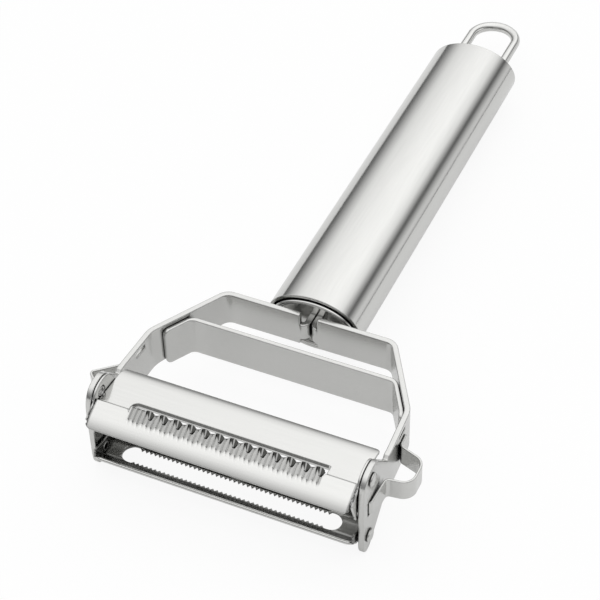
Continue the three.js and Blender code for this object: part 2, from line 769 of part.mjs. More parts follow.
/** Dished plug: a beaded rim round a recessed web, open behind, with the tang's slot through the web. */
function frontPlug() {
  const inset = handleWall + plugGap;
  const front = handleFront - plugStand;
  const rear = front + plugLength;
  const webFront = front + plugDish;
  const slotHalf = tangX + yokeSheet / 2 + tangSlotGap;
  const slotTop = tangTop + tangSlotGap;
  const slotBottom = tangBottom - tangSlotGap;
  return ovalBar(inset, front + plugBead, rear)
    .add(ovalBar(inset + plugBead / 2, front, rear))
    .subtract(ovalBar(inset + plugRim, front - margin, webFront))
    .subtract(ovalBar(inset + plugSheet, webFront + plugSheet, rear + margin))
    .subtract(box(-slotHalf, slotHalf, front - margin, rear + margin, slotBottom, slotTop));
}

/** End cap: a cup pressed into the tube's rear end, with two holes for the loop's legs. */
function endCap() {
  const inset = handleWall + plugGap;
  const rear = handleFront + handleLength;
  const holeRadius = wireRadius + fixedGap;
  const holes = [-loopHalfWidth, loopHalfWidth].map((x) => {
    const bar = new THREE.CylinderGeometry(holeRadius, holeRadius, capSkirt * 2, facets);
    return solid(bar.translate(x, rear, handleZ));
  });
  return ovalBar(inset, rear - capSkirt, rear)
    .subtract(ovalBar(inset + capThickness, rear - capSkirt - margin, rear - capThickness))
    .subtract(holes[0])
    .subtract(holes[1]);
}

/** The loop's centre line: a leg, a half circle and the other leg. */
class LoopLine extends THREE.Curve {
  getPoint(t) {
    const start = handleFront + handleLength - loopTail;
    const leg = loopReach + loopTail - wireRadius - loopHalfWidth;
    const bend = Math.PI * loopHalfWidth;
    const run = t * (2 * leg + bend);
    if (run <= leg) return new THREE.Vector3(-loopHalfWidth, start + run, handleZ);
    if (run >= leg + bend) return new THREE.Vector3(loopHalfWidth, start + 2 * leg + bend - run, handleZ);
    const angle = Math.PI - (run - leg) / loopHalfWidth;
    return new THREE.Vector3(
      loopHalfWidth * Math.cos(angle),
      start + leg + loopHalfWidth * Math.sin(angle),
      handleZ,
    );
  }
}

function hangingLoop() {
  const section = new THREE.Shape().absarc(0, 0, wireRadius, 0, Math.PI * 2, false);
  const options = {
    steps: loopSteps,
    curveSegments: wireSides,
    extrudePath: new LoopLine(),
    bevelEnabled: false,
  };
  return solid(new THREE.ExtrudeGeometry(section, options));
}

const yoke = yokeHalf();
const julienneRivet = pivotRivet(juliennePivot, julienneHalfLength);
const serratedRivet = pivotRivet(serratedPivot, serratedHalfLength);

const tool = new THREE.Group();
tool.add(
  piece("handle_tube", handleTube(), steelHandle),
  piece("handle_front_plug", frontPlug(), steelPlug),
  piece("handle_end_cap", endCap(), steelPlug),
  piece("hanging_loop", hangingLoop(), steelHandle),
  piece("yoke_right", yoke, steelYoke),
  mirrored("yoke_left", yoke, steelYoke),
  piece("cross_brace", crossBrace(), steelYoke),
  piece("tang_rivet", tangRivet(), steelRivet),
  piece("eye_gouge_right", eyeGouge(roundLoop), steelYoke),
  mirrored("eye_gouge_left", eyeGouge(pinchedLoop), steelYoke),
  piece("julienne_rivet_right", julienneRivet, steelRivet),
  mirrored("julienne_rivet_left", julienneRivet, steelRivet),
  piece("serrated_rivet_right", serratedRivet, steelRivet),
  mirrored("serrated_rivet_left", serratedRivet, steelRivet),
  piece("julienne_blade", julienneBlade(), steelBlade),
  piece("serrated_blade", serratedBlade(), steelBlade),
);

// Laid on a table: the tool tips back until the heel of the handle comes down level with the lug tips.
const heelY = handleFront + handleLength;
const heelZ = handleZ - handleHalfHeight;
tool.rotation.x = -Math.atan2(heelZ - lugBottom, heelY - lugTip);
const julienne_peeler = new THREE.Group();
julienne_peeler.add(tool);
const bounds = new THREE.Box3().setFromObject(julienne_peeler, true);
const middle = bounds.getCenter(new THREE.Vector3());
tool.position.set(-middle.x, -middle.y, -bounds.min.z);

export default julienne_peeler;
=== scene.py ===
"""Double-sided Y peeler of stainless steel, dressed round its CAD frame.

Each sheet piece is cut as a flat blank, folded along its bends and given its thickness, as the real
one is made. Shapes are worked out in millimetres in the tool's own frame, where the yoke's top edge is at
z = 0, and REST lays them on the table, in metres, where the CAD pieces lie.
"""
import json
import math

import bmesh
import bpy
from mathutils import Matrix, Vector


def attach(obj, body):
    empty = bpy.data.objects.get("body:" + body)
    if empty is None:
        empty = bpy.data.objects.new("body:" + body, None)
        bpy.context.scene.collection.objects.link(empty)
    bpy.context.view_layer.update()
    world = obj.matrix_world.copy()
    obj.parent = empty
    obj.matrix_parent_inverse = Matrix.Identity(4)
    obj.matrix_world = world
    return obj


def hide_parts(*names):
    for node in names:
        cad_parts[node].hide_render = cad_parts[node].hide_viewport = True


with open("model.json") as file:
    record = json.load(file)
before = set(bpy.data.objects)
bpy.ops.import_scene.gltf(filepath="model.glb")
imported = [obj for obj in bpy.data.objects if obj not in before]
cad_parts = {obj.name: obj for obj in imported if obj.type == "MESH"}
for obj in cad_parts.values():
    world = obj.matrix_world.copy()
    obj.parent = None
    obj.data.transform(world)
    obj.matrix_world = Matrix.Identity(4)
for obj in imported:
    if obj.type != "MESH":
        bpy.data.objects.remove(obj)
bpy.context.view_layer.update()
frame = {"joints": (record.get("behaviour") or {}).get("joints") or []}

bl_info = {
    "name": "Julienne peeler",
    "version": (1, 0, 0),
    "blender": (4, 5, 0),
    "location": "3D View > Sidebar > Peeler",
    "description": "Builds a stainless steel peeler with a julienne blade, a serrated blade and a handle",
    "category": "Add Mesh",
}

# Yoke strip and its tang, in millimetres
HEAD_HALF_WIDTH = 36.4
YOKE_SHEET = 1.5
CROSSBAR_REAR = 46.3
CROSSBAR_HEIGHT = 10.0
ARM_HEIGHT = 12.3
OBLIQUE_REACH = 11.7
ELBOW_Y = 25.5
ARM_SPLAY = 0.75
SPLAY_END = 12.0
TANG_BEND, SHOULDER_BEND, ELBOW_BEND, SPLAY_BEND = 1.6, 3.5, 6.0, 12.0
TANG_SEAM = 0.3
TANG_TOP, TANG_BOTTOM = -3.4, -8.4
TANG_REACH = 18.0
TANG_NOTCH = 2.4
TANG_RIVET_SET = 12.5
# Behind the crossbar the seam closes and the tang widens: over what length, by what share and how far
TANG_PRESSED, TANG_CLOSED, TANG_FLARE = 3.0, 0.45, 0.45
YOKE_CORNER, YOKE_SLOT_CORNER = 0.35, 0.3
LUG_X = HEAD_HALF_WIDTH - YOKE_SHEET / 2
LUG_INNER = HEAD_HALF_WIDTH - YOKE_SHEET
ELBOW_X = LUG_X - ARM_SPLAY
SHOULDER_X = ELBOW_X - OBLIQUE_REACH
CROSSBAR_Y = CROSSBAR_REAR - YOKE_SHEET / 2
TANG_X = (TANG_SEAM + YOKE_SHEET) / 2
TANG_END = CROSSBAR_REAR + TANG_REACH
TANG_RIVET = (CROSSBAR_REAR + TANG_RIVET_SET, (TANG_TOP + TANG_BOTTOM) / 2)

# Lugs, in the side view: Y, then Z
JULIENNE_PIVOT = (-0.5, 3.1)
SERRATED_PIVOT = (-2.1, -15.1)
LUG_REAR, LUG_NOTCH = 9.4, 0.9
LUG_SHOULDER = (4.4, 4.4)
LUG_APEX = (0.6, 6.4)
LUG_FRONT, LUG_FRONT_TOP = -5.3, -2.0
LUG_TIP, LUG_TIP_RISE = (-2.8, -19.8), 4.0
LUG_TIP_REAR = (-0.6, -18.9)
LUG_HEEL = (6.6, -12.3)
LUG_ROUNDING = 1.2

# Cross brace
BRACE_SHEET = 1.2
BRACE_FRONT, BRACE_TOP, BRACE_HEIGHT = 33.9, -1.2, 11.6
BRACE_BEND, BRACE_LEG_END, BRACE_LONG_LEG_END, BRACE_CORNER = 2.6, 27.3, 23.8, 1.6
WELD_GAP = 0.05
FLAT_MARGIN = 0.3

# Eye gouges
GOUGE_SHEET = 0.6
GOUGE_TOP, GOUGE_BOTTOM = -3.5, -9.5
GOUGE_FOOT_REAR, GOUGE_STAND = 21.8, 0.45
GOUGE_TAB_Y, GOUGE_TAB_TOP, GOUGE_TAB_BOTTOM = -1.8, -3.6, -7.6
GOUGE_BEND, GOUGE_SLOT_GAP, GOUGE_REACH, GOUGE_EDGE = 1.3, 0.25, 7.2, 0.2
GOUGE_CORNER, GOUGE_SHOULDER, GOUGE_TAB_FOOT, GOUGE_TAB_CORNER = 1.5, 0.8, 0.5, 0.3
# Slots in the lug and the arm that a gouge is hooked into: front and rear, low and high
TAB_SLOT = (-2.75, -1.25, -8.2, -3.1)
FOOT_SLOT = (17.4, 21.6, -2.7, -1.3)
ROUND_LOOP = {"leaves": 17.2, "nose_rear": 14.9, "nose_front": 7.1, "nose_bend": 3.2, "returns": 6.3}
PINCHED_LOOP = {"leaves": 15.9, "nose_rear": 10.0, "nose_front": 9.2, "nose_bend": 0.5, "returns": 3.4}

# Blades
JULIENNE_HALF = LUG_INNER - 0.5
SERRATED_HALF = LUG_INNER - 0.3
BLADE_CORNER = 1.3
EAR_RADIUS, EAR_HOLE, EAR_INSIDE_LUG, EAR_GAP = 2.5, 1.6, 0.15, 0.15
REAR_LIP, REAR_KNEE, REAR_EDGE, REAR_BEND = (-2.4, 1.93), (8.95, 0.93), (10.4, 0.28), 8.75
FRONT_LIP, FRONT_KNEE, FRONT_EDGE, FRONT_BEND = (-3.4, 3.0), (-8.25, 0.66), (-9.4, -0.52), 8.75
OPENING_HALF = JULIENNE_HALF - 8.57
OPENING_REAR, OPENING_CORNER_LEFT, OPENING_CORNER_RIGHT = 0.35, 1.6, 0.3
LIP_DROP = 1.2  # how far the rear half's edge is turned down behind the teeth
# Strip over the rear half's cut edge behind the teeth, coloured with painted shade
LIP_TOP, LIP_BOTTOM = 1.95, 0.95
LIP_PROUD, LIP_BEHIND, LIP_STOP = 0.03, 0.1, 0.3  # of the cut edge, from the opening's outline and its end
LAP_CORNER, LAP_FOOT = 0.3, 0.2  # of the rear half where it laps the front one
TOOTH_ROOT, TOOTH_PLAIN_REAR = -6.84, -2.5
TOOTH_RIDGE = 0.58  # a ridge's place in its pitch
FLUTED_LEFT, FLUTED_RIGHT = -24.9, 25.4
# Rear edge of the fluted sheet over one pitch, as X from the ridge and Y
TOOTH_REAR = [(-0.8, -2.3), (0.55, -2.3), (1.63, -2.9), (2.6, -2.6)]
# Corners of an upright point, as X from the ridge, Y and height over the sheet
# The left and right faces are dark with painted shade; the ridge keeps the polished steel
POINT_LEFT = [(-0.69, -2.46, 0.1), (0.4, -4.02, 0.02), (0.16, -2.52, 0.4)]
POINT_RIDGE = [(0.14, -2.5, 0.42), (0.38, -4.02, 0.05), (0.72, -4.16, 0.05), (0.55, -2.48, 0.4)]
POINT_RIGHT = [(0.55, -2.5, 0.36), (0.72, -4.16, 0.02), (1.63, -3.11, 0.05)]
POINT_DEPTH, POINT_SEAT = 0.3, 0.55  # below its faces, and its foot's place in the sheet's thickness
FLUTES = 3  # ground side by side in each pitch
FLUTE_DEPTH, FLUTE_POINT, FLUTE_STEEP = 0.37, 1.1, 0.32  # its pointed end's length, its steep side's share
FLUTE_TIPS = (-6.75, -6.35, -6.6)
FLUTE_CREASE, FLUTE_LONG_SIDE, FLUTE_ROWS = 0.03, 0.65, 24  # where a flute's mesh is cut, across and along
WING_GAP, WING_CORNER = 0.12, 1.2  # of the plain ends, beside the last flutes
TAIL_FRONT, TAIL_REAR, TAIL_BOTTOM = -6.2, -2.4, -7.2
FLANGE_REAR, FLANGE_DROP = 6.4, -1.2
TAIL_HOLE_RADIUS, TAIL_HOLE_INSET = 1.0, 1.9
TROUGH = [(3.3, -13.7, 0.0), (0.7, -15.35, 3.0), (-4.7, -15.35, 3.0), (-7.2, -13.9, 0.0)]
SLOT_HALF = SERRATED_HALF - 5.3
SLOT_REAR, SLOT_FRONT = 0.7, -4.6
SAW_MARGIN = 0.4
RIM_BEAD, RIM_CORNER, RIM_CORNER_REAR = 0.5, 2.0, 0.6
FLANGE_FRONT_TOP, FLANGE_REAR_TOP = -11.6, -12.6

# Rivets
RIVET_RADIUS, RIVET_HEAD_RADIUS, RIVET_HEAD_HEIGHT, RIVET_HEAD_RIM = 1.2, 1.75, 0.9, 0.3
RIVET_TAIL_RADIUS, RIVET_BORE, RIVET_BORE_DEPTH = 1.4, 0.8, 0.5
FIXED_GAP = 0.06
TANG_RIVET_RADIUS, TANG_HEAD_RADIUS, TANG_HEAD_HEIGHT = 1.2, 2.0, 0.7

# Handle and hanging loop
HANDLE_HALF_WIDTH, HANDLE_HALF_HEIGHT, HANDLE_Z = 12.9, 8.85, -5.0
HANDLE_FRONT, HANDLE_LENGTH, HANDLE_WALL = 48.2, 117.5, 0.9
HANDLE_REAR = HANDLE_FRONT + HANDLE_LENGTH
PLUG_GAP, PLUG_STAND, PLUG_LENGTH, PLUG_RIM, PLUG_DISH, PLUG_DRAFT = 0.42, 0.7, 8.0, 1.1, 2.4, 0.02
# How far in from the bead, and how far back from the bead's middle and from the dish's floor
PLUG_STEP = [(0.05, 0.15), (0.5, 0.3)]
PLUG_FLOOR = [(0.7, -0.4), (1.1, 0.0), (3.9, 0.05)]
TUBE_LIP = 0.22
CAP_SKIRT, CAP_TURN, CAP_RIM = 6.0, 0.6, 2.0
LOOP_HALF_WIDTH, LOOP_REACH, LOOP_TAIL = 6.8, 24.4, 4.5

# Camera: its place in the tool's frame, its turn in degrees, its film's width in millimetres and its reach
EYE = (139.854, -253.171, 321.797)
EYE_TURN = (44.3735, 2.05, 24.2521)
FILM_WIDTH, NEAR, FAR = 36.0, 0.01, 50.0

# Table, in metres, and the share of it that is plain white to the eye and in the steel
TABLE_HALF, TABLE_DROP = 3.0, 0.0002
WHITE_TO_EYE, WHITE_IN_STEEL = 0.9, 0.3


def rest_matrix():
    """From the tool's own frame in millimetres to the table in metres: on the lugs and the handle's heel."""
    heel = (HANDLE_REAR, HANDLE_Z - HANDLE_HALF_HEIGHT)
    tilt = -math.atan2(heel[1] - LUG_TIP[1], heel[0] - LUG_TIP[0])
    turn = Matrix.Rotation(tilt, 4, "X") @ Matrix.Scale(0.001, 4)
    swivel = next(joint for joint in frame["joints"] if joint["name"] == "julienne_swivel")
    return Matrix.Translation(Vector(swivel["pos_m"]) - turn @ Vector((0.0, *JULIENNE_PIVOT))) @ turn


REST = rest_matrix()


def linear(hex_colour):
    """An sRGB hex colour as linear red, green and blue."""
    parts = [int(hex_colour[i : i + 2], 16) / 255 for i in (1, 3, 5)]
    return tuple(c / 12.92 if c <= 0.04045 else ((c + 0.055) / 1.055) ** 2.4 for c in parts)


# Outlines and bends

def quadratic(start, control, end, steps=8):
    """Points of a curve with one control point, without its start."""
    shares = [step / steps for step in range(1, steps + 1)]
    return [
        tuple((1 - t) ** 2 * a + 2 * t * (1 - t) * b + t * t * c for a, b, c in zip(start, control, end))
        for t in shares
    ]


def cubic(start, first, second, end, steps=12):
    """Points of a curve with two control points, without its start."""
    points = []
    for step in range(1, steps + 1):
        t = step / steps
        weights = ((1 - t) ** 3, 3 * t * (1 - t) ** 2, 3 * t * t * (1 - t), t**3)
        pairs = list(zip(weights, (start, first, second, end)))
        points.append(tuple(sum(weight * point[k] for weight, point in pairs) for k in (0, 1)))
    return points


def arc(centre, radius, first, last, steps=24):
    """Points of a circle from one angle to another, in degrees, both ends included."""
    angles = [math.radians(first + (last - first) * step / steps) for step in range(steps + 1)]
    return [(centre[0] + radius * math.cos(a), centre[1] + radius * math.sin(a)) for a in angles]


def circle(centre, radius, steps=24):
    return arc(centre, radius, 0, 360, steps)[:-1]


def rounded(corners, steps=5):
    """A closed outline from corners (u, v) or (u, v, radius), each turned with its radius."""
    outline = []
    for i, corner in enumerate(corners):
        here = Vector(corner[:2])
        radius = corner[2] if len(corner) > 2 else 0.0
        if radius == 0.0:
            outline.append(here)
            continue
        before = (Vector(corners[i - 1][:2]) - here).normalized()
        after = (Vector(corners[(i + 1) % len(corners)][:2]) - here).normalized()
        half = before.angle(after) / 2
        start = here + before * radius / math.tan(half)
        end = here + after * radius / math.tan(half)
        centre = here + (before + after).normalized() * radius / math.sin(half)
        first, last = start - centre, end - centre
        sweep = first.angle(last)
        for step in range(steps + 1):
            share = step / steps
            mix = first * math.sin((1 - share) * sweep) + last * math.sin(share * sweep)
            outline.append(centre + mix / math.sin(sweep))
    return [tuple(point) for point in outline]


def inset(loop, amount):
    """A closed outline moved into the metal, where positive amounts shrink an anticlockwise loop."""
    moved = []
    for i, point in enumerate(loop):
        here = Vector(point)
        before = (here - Vector(loop[i - 1])).normalized()
        after = (Vector(loop[(i + 1) % len(loop)]) - here).normalized()
        left = Vector((-before.y - after.y, before.x + after.x))
        scale = 1 + before.dot(after)
        moved.append(tuple(here + left * amount / max(scale, 0.4)))
    return moved


def wound(loop, anticlockwise):
    area = sum(a[0] * b[1] - b[0] * a[1] for a, b in zip(loop, loop[1:] + loop[:1]))
    return list(loop) if (area > 0) == anticlockwise else list(reversed(loop))


class BentLine:
    """Straight runs joined by round bends, measured along their length, in a plan or a side view."""

    def __init__(self, corners, step=6.0):
        self.points, self.sides, self.stations = [], [], []
        for i, (x, y, *radius) in enumerate(corners):
            here = Vector((x, y))
            before = (here - Vector(corners[i - 1][:2])).normalized() if i > 0 else None
            after = (Vector(corners[i + 1][:2]) - here).normalized() if i < len(corners) - 1 else None
            if not before or not after or not radius or radius[0] == 0.0:
                self.add(here, before or after, False)
                continue
            turn = math.atan2(before.x * after.y - before.y * after.x, before.dot(after))
            inner = Vector((-before.y, before.x)) * math.copysign(1.0, turn)
            start = here - before * radius[0] * math.tan(abs(turn) / 2)
            count = max(4, round(math.degrees(abs(turn)) / step))
            for k in range(count + 1):
                angle = abs(turn) * k / count
                sine, cosine = math.sin(angle), math.cos(angle)
                point = start + (before * sine + inner * (1 - cosine)) * radius[0]
                self.add(point, before * cosine + inner * sine, True)

    def add(self, point, direction, bend):
        run = (point - self.points[-1]).length if self.points else 0.0
        self.lengths = getattr(self, "lengths", [])
        self.lengths.append((self.lengths[-1] if self.lengths else 0.0) + run)
        self.points.append(point)
        self.sides.append(Vector((-direction.y, direction.x)))
        if bend:
            self.stations.append(self.lengths[-1])

    @property
    def total(self):
        return self.lengths[-1]

    def at(self, along):
        """The point that far along, and the unit vector to the left there."""
        last = len(self.lengths) - 2
        i = next((k for k in range(last) if along <= self.lengths[k + 1]), last)
        share = (along - self.lengths[i]) / (self.lengths[i + 1] - self.lengths[i])
        side = self.sides[i].lerp(self.sides[i + 1], min(1.0, max(0.0, share)))
        return self.points[i].lerp(self.points[i + 1], share), side.normalized()

    def find(self, axis, value, after=0.0):
        """How far along the line a coordinate takes a value, past a given length."""
        for i in range(len(self.points) - 1):
            a, b = self.points[i][axis], self.points[i + 1][axis]
            if self.lengths[i + 1] <= after or a == b or (a - value) * (b - value) > 0:
                continue
            return self.lengths[i] + (value - a) / (b - a) * (self.lengths[i + 1] - self.lengths[i])
        raise ValueError(f"the line never reaches {value}")


# Sheet metal

def blank(loops, edge):
    """A flat blank in the u-v plane. The first loop is its outside, and the others are holes in it."""
    bm = bmesh.new()
    edges = []
    for i, loop in enumerate(loops):
        points = inset(wound(loop, i == 0), edge)
        verts = [bm.verts.new((u, v, 0.0)) for u, v in points]
        edges += [bm.edges.new((a, b)) for a, b in zip(verts, verts[1:] + verts[:1])]
    bmesh.ops.triangle_fill(bm, edges=edges, use_beauty=True, use_dissolve=False, normal=(0, 0, 1))
    return bm


def fold(bm, line, place):
    """Bends a blank along a line: u runs along it, and place puts a point of the line and v in space.

    A cut a little outside each bend keeps the bend's shading off the flat runs.
    """
    ends = [0.0, *line.stations, line.total]
    flats = [(a, b) for a, b in zip(ends, ends[1:]) if b - a > 4 * FLAT_MARGIN]
    for station in line.stations + [a + FLAT_MARGIN for a, b in flats] + [b - FLAT_MARGIN for a, b in flats]:
        everything = bm.verts[:] + bm.edges[:] + bm.faces[:]
        bmesh.ops.bisect_plane(bm, geom=everything, dist=1e-5, plane_co=(station, 0, 0), plane_no=(1, 0, 0))
    for vert in bm.verts:
        point, _ = line.at(vert.co.x)
        vert.co = place(point, vert.co.y)


def in_plan(point, v):
    return Vector((point.x, point.y, v))


def in_side(point, v):
    return Vector((v, point.x, point.y))


def thicken(bm, sheet, edge, steps=3, ground=None):
    """Gives a surface its thickness, half on each side, with rounded corners all along its rim.

    ground says how deep each vertex of the upper side is ground off.
    """
    bmesh.ops.recalc_face_normals(bm, faces=bm.faces[:])
    if sum(face.normal.z * face.calc_area() for face in bm.faces) < 0:
        bmesh.ops.reverse_faces(bm, faces=bm.faces[:])
    bm.normal_update()
    solid = bmesh.new()
    top, bottom, normals = {}, {}, {}
    for vert in bm.verts:
        reach = min(1.4, vert.calc_shell_factor()) * sheet / 2
        normals[vert] = vert.normal.copy()
        top[vert] = solid.verts.new(vert.co + vert.normal * (reach - (ground[vert] if ground else 0.0)))
        bottom[vert] = solid.verts.new(vert.co - vert.normal * reach)
    for face in bm.faces:
        solid.faces.new([top[v] for v in face.verts])
        solid.faces.new([bottom[v] for v in reversed(face.verts)])
    rim = [e for e in bm.edges if e.is_boundary]
    outward = {}
    for e in rim:
        loop = e.link_loops[0]
        along = loop.link_loop_next.vert.co - loop.vert.co
        out = along.cross(e.link_faces[0].normal).normalized()
        for vert in e.verts:
            outward.setdefault(vert, []).append(out)
    profile = []
    for k in range(1, steps + 1):
        angle = math.pi / 2 * k / steps
        profile.append((edge * math.sin(angle), sheet / 2 - edge * (1 - math.cos(angle))))
    if profile[-1][1] < 1e-6:
        profile.pop()
        profile = profile + [(edge, 0.0)] + [(o, -h) for o, h in reversed(profile)]
    else:
        profile += [(o, -h) for o, h in reversed(profile)]
    columns = {}
    for vert, outs in outward.items():
        way = sum(outs, Vector()) / max(0.4, 1 + (outs[0].dot(outs[1]) if len(outs) == 2 else 1.0))
        ring = [solid.verts.new(vert.co + way * o + normals[vert] * h) for o, h in profile]
        columns[vert] = [top[vert], *ring, bottom[vert]]
    for e in rim:
        loop = e.link_loops[0]
        a, b = columns[loop.vert], columns[loop.link_loop_next.vert]
        for k in range(len(a) - 1):
            solid.faces.new((b[k], a[k], a[k + 1], b[k + 1]))
    bm.free()
    return solid


def merge(target, part):
    """Adds one mesh to another."""
    mesh = bpy.data.meshes.new("part")
    part.to_mesh(mesh)
    part.free()
    target.from_mesh(mesh)
    bpy.data.meshes.remove(mesh)


def mirror(bm):
    """The same mesh on the other side of the head."""
    bmesh.ops.scale(bm, vec=(-1, 1, 1), verts=bm.verts[:])
    bmesh.ops.reverse_faces(bm, faces=bm.faces[:])


def loft(rings, closed_section=True, ends=True):
    """A skin over rings of points; a closed section comes back to its first ring, and ends close others."""
    bm = bmesh.new()
    skins = [[bm.verts.new(point) for point in ring] for ring in rings]
    pairs = list(zip(skins, skins[1:]))
    if closed_section:
        pairs.append((skins[-1], skins[0]))
    for a, b in pairs:
        for i in range(len(a)):
            j = (i + 1) % len(a)
            bm.faces.new((a[i], a[j], b[j], b[i]))
    if ends and not closed_section:
        bm.faces.new(list(reversed(skins[0])))
        bm.faces.new(skins[-1])
    bmesh.ops.recalc_face_normals(bm, faces=bm.faces[:])
    return bm


def oval(set_in, y, sides=128):
    """A ring of the handle's oval at a given Y, set in from the handle's outer surface."""
    turns = [2 * math.pi * i / sides for i in range(sides)]
    wide, high = HANDLE_HALF_WIDTH - set_in, HANDLE_HALF_HEIGHT - set_in
    return [(wide * math.cos(t), y, HANDLE_Z + high * math.sin(t)) for t in turns]


def lathe(profile, centre, sides=32):
    """A turned piece along X about a point of the side view, from (radius, x) pairs, the end ones at 0."""
    rings = []
    for radius, x in profile[1:-1]:
        turns = [2 * math.pi * i / sides for i in range(sides)]
        rings.append([(x, centre[0] + radius * math.cos(t), centre[1] + radius * math.sin(t)) for t in turns])
    bm = loft(rings, closed_section=False, ends=False)
    bm.verts.ensure_lookup_table()
    for (_, x), loop in ((profile[0], bm.verts[:sides]), (profile[-1], bm.verts[-sides:])):
        tip = bm.verts.new((x, *centre))
        for a, b in zip(loop, loop[1:] + loop[:1]):
            bm.faces.new((a, b, tip))
    bmesh.ops.recalc_face_normals(bm, faces=bm.faces[:])
    return bm


def put(name, bm, material, body, slot, *nodes):
    """Lays a finished piece on the table, with its finish and its body, to stand for its CAD nodes."""
    bmesh.ops.transform(bm, matrix=REST, verts=bm.verts[:])
    mesh = bpy.data.meshes.new(name)
    bm.to_mesh(mesh)
    bm.free()
    mesh.shade_smooth()
    mesh.materials.append(material)
    piece = bpy.data.objects.new(name, mesh)
    bpy.context.scene.collection.objects.link(piece)
    weighted = piece.modifiers.new("flat faces lead the shading", "WEIGHTED_NORMAL")
    weighted.mode = "FACE_AREA"
    weighted.keep_sharp = True
    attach(piece, body)
    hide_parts(*nodes)
    return piece


# Finishes

def node(tree, kind, links=None, inputs=None, **settings):
    """One shader node with its settings, its input values and its links, as socket: (node, output)."""
    made = tree.nodes.new(kind)
    for key, value in settings.items():
        setattr(made, key, value)
    for socket, value in (inputs or {}).items():
        made.inputs[socket].default_value = value
    for socket, (source, output) in (links or {}).items():
        tree.links.new(source.outputs[output], made.inputs[socket])
    return made


# Painted shade and wear on the steels: widths in millimetres, and shares from 0 to 1
CLOUD_SIZE = 16.7  # of the soft patches that handling leaves
HOLLOW_CLOSED, HOLLOW_OPEN, PAINTED_HOLLOW_SHADE = 0.15, 0.8, 0.1  # how open a hollow is, and the painted shade in it
EDGE_SHADE_AND_RUB_WIDTH, EDGE_SHADE_AND_RUB_START, EDGE_SHADE_AND_RUB_END, RUBBED_DULL = 0.3, 0.6, 0.95, 0.14  # along the corners: a painted dark line in the colour, and rubbed duller
GRAIN_LOW, GRAIN_HIGH = 0.6, 1.4  # of the grain and the patches together


def steel(name, tones, roughness, grain, depth, hollow=1.2, line=0.45):
    """Stainless steel with a grain: two tones, a spread of roughness and a relief along the same lines.

    grain is the size of one line of the finish along X, Y and Z, in millimetres, and depth its relief.
    Painted shade darkens the colour in hollows, as wide as hollow says, and a painted dark line of the
    strength that line gives runs along the corners, which are also rubbed duller.
    """
    colour, shade = tones
    middle, spread = roughness
    if name in bpy.data.materials:
        return bpy.data.materials[name]
    material = bpy.data.materials.new(name)
    material.use_nodes = True
    tree = material.node_tree
    tree.nodes.clear()
    place = node(tree, "ShaderNodeTexCoord")
    lines = node(
        tree,
        "ShaderNodeMapping",
        {"Vector": (place, "Object")},
        {"Scale": tuple(1000.0 / size for size in grain)},
    )
    fine = node(tree, "ShaderNodeTexNoise", {"Vector": (lines, "Vector")}, {"Scale": 1.0, "Detail": 3.0})
    patch = {"Scale": 1000.0 / CLOUD_SIZE, "Detail": 2.0}
    cloud = node(tree, "ShaderNodeTexNoise", {"Vector": (place, "Object")}, patch)
    tone = node(tree, "ShaderNodeMix", {"Factor": (fine, "Fac")}, data_type="RGBA")
    tone.inputs["A"].default_value = (*shade, 1.0)
    tone.inputs["B"].default_value = (*colour, 1.0)
    # Painted shade: the colour darkens where ambient occlusion finds a hollow
    corner = node(tree, "ShaderNodeAmbientOcclusion", inputs={"Distance": hollow / 1000.0}, samples=8)
    hollow_shade = node(
        tree,
        "ShaderNodeMapRange",
        {"Value": (corner, "AO")},
        {"From Min": HOLLOW_CLOSED, "From Max": HOLLOW_OPEN, "To Min": PAINTED_HOLLOW_SHADE, "To Max": 1.0},
    )
    # Corners found from inside the sheet: a painted dark line in the colour, and a duller roughness
    rim = node(
        tree,
        "ShaderNodeAmbientOcclusion",
        inputs={"Distance": EDGE_SHADE_AND_RUB_WIDTH / 1000.0},
        samples=8,
        inside=True,
        only_local=True,
    )
    outline = node(
        tree,
        "ShaderNodeMapRange",
        {"Value": (rim, "AO")},
        {"From Min": EDGE_SHADE_AND_RUB_START, "From Max": EDGE_SHADE_AND_RUB_END, "To Min": 1.0 - line, "To Max": 1.0},
    )
    # Both painted shades together scale the grain's colour
    dimmed = {0: (hollow_shade, "Result"), 1: (outline, "Result")}
    painted_shade = node(tree, "ShaderNodeMath", dimmed, operation="MULTIPLY")
    grain_and_painted_shade = node(
        tree,
        "ShaderNodeVectorMath",
        {0: (tone, "Result"), "Scale": (painted_shade, "Value")},
        operation="SCALE",
    )
    both = node(tree, "ShaderNodeMath", {0: (fine, "Fac"), 1: (cloud, "Fac")}, operation="ADD")
    rough = node(
        tree,
        "ShaderNodeMapRange",
        {"Value": (both, "Value")},
        {"From Min": GRAIN_LOW, "From Max": GRAIN_HIGH, "To Min": middle - spread, "To Max": middle + spread},
    )
    edge = node(
        tree,
        "ShaderNodeMapRange",
        {"Value": (rim, "AO")},
        {"From Min": EDGE_SHADE_AND_RUB_START, "From Max": EDGE_SHADE_AND_RUB_END, "To Min": RUBBED_DULL, "To Max": 0.0},
    )
    rubbed = node(tree, "ShaderNodeMath", {0: (rough, "Result"), 1: (edge, "Result")}, operation="ADD")
    relief = node(
        tree,
        "ShaderNodeBump",
        {"Height": (fine, "Fac")},
        {"Strength": 1.0, "Distance": depth / 1000.0},
    )
    skin = node(
        tree,
        "ShaderNodeBsdfPrincipled",
        {"Base Color": (grain_and_painted_shade, "Vector"), "Roughness": (rubbed, "Value"), "Normal": (relief, "Normal")},
        {"Metallic": 1.0},
    )
    node(tree, "ShaderNodeOutputMaterial", {"Surface": (skin, "BSDF")})
    return material


def tumbled_strip_steel(finish):
    """Cold-rolled stainless strip, tumbled after stamping: an even silver grey with a soft sheen."""
    tones = (finish.strip, finish.strip_shade)
    return steel("tumbled_strip_steel", tones, (finish.strip_roughness, 0.03), (0.9, 0.9, 0.5), 0.0006)


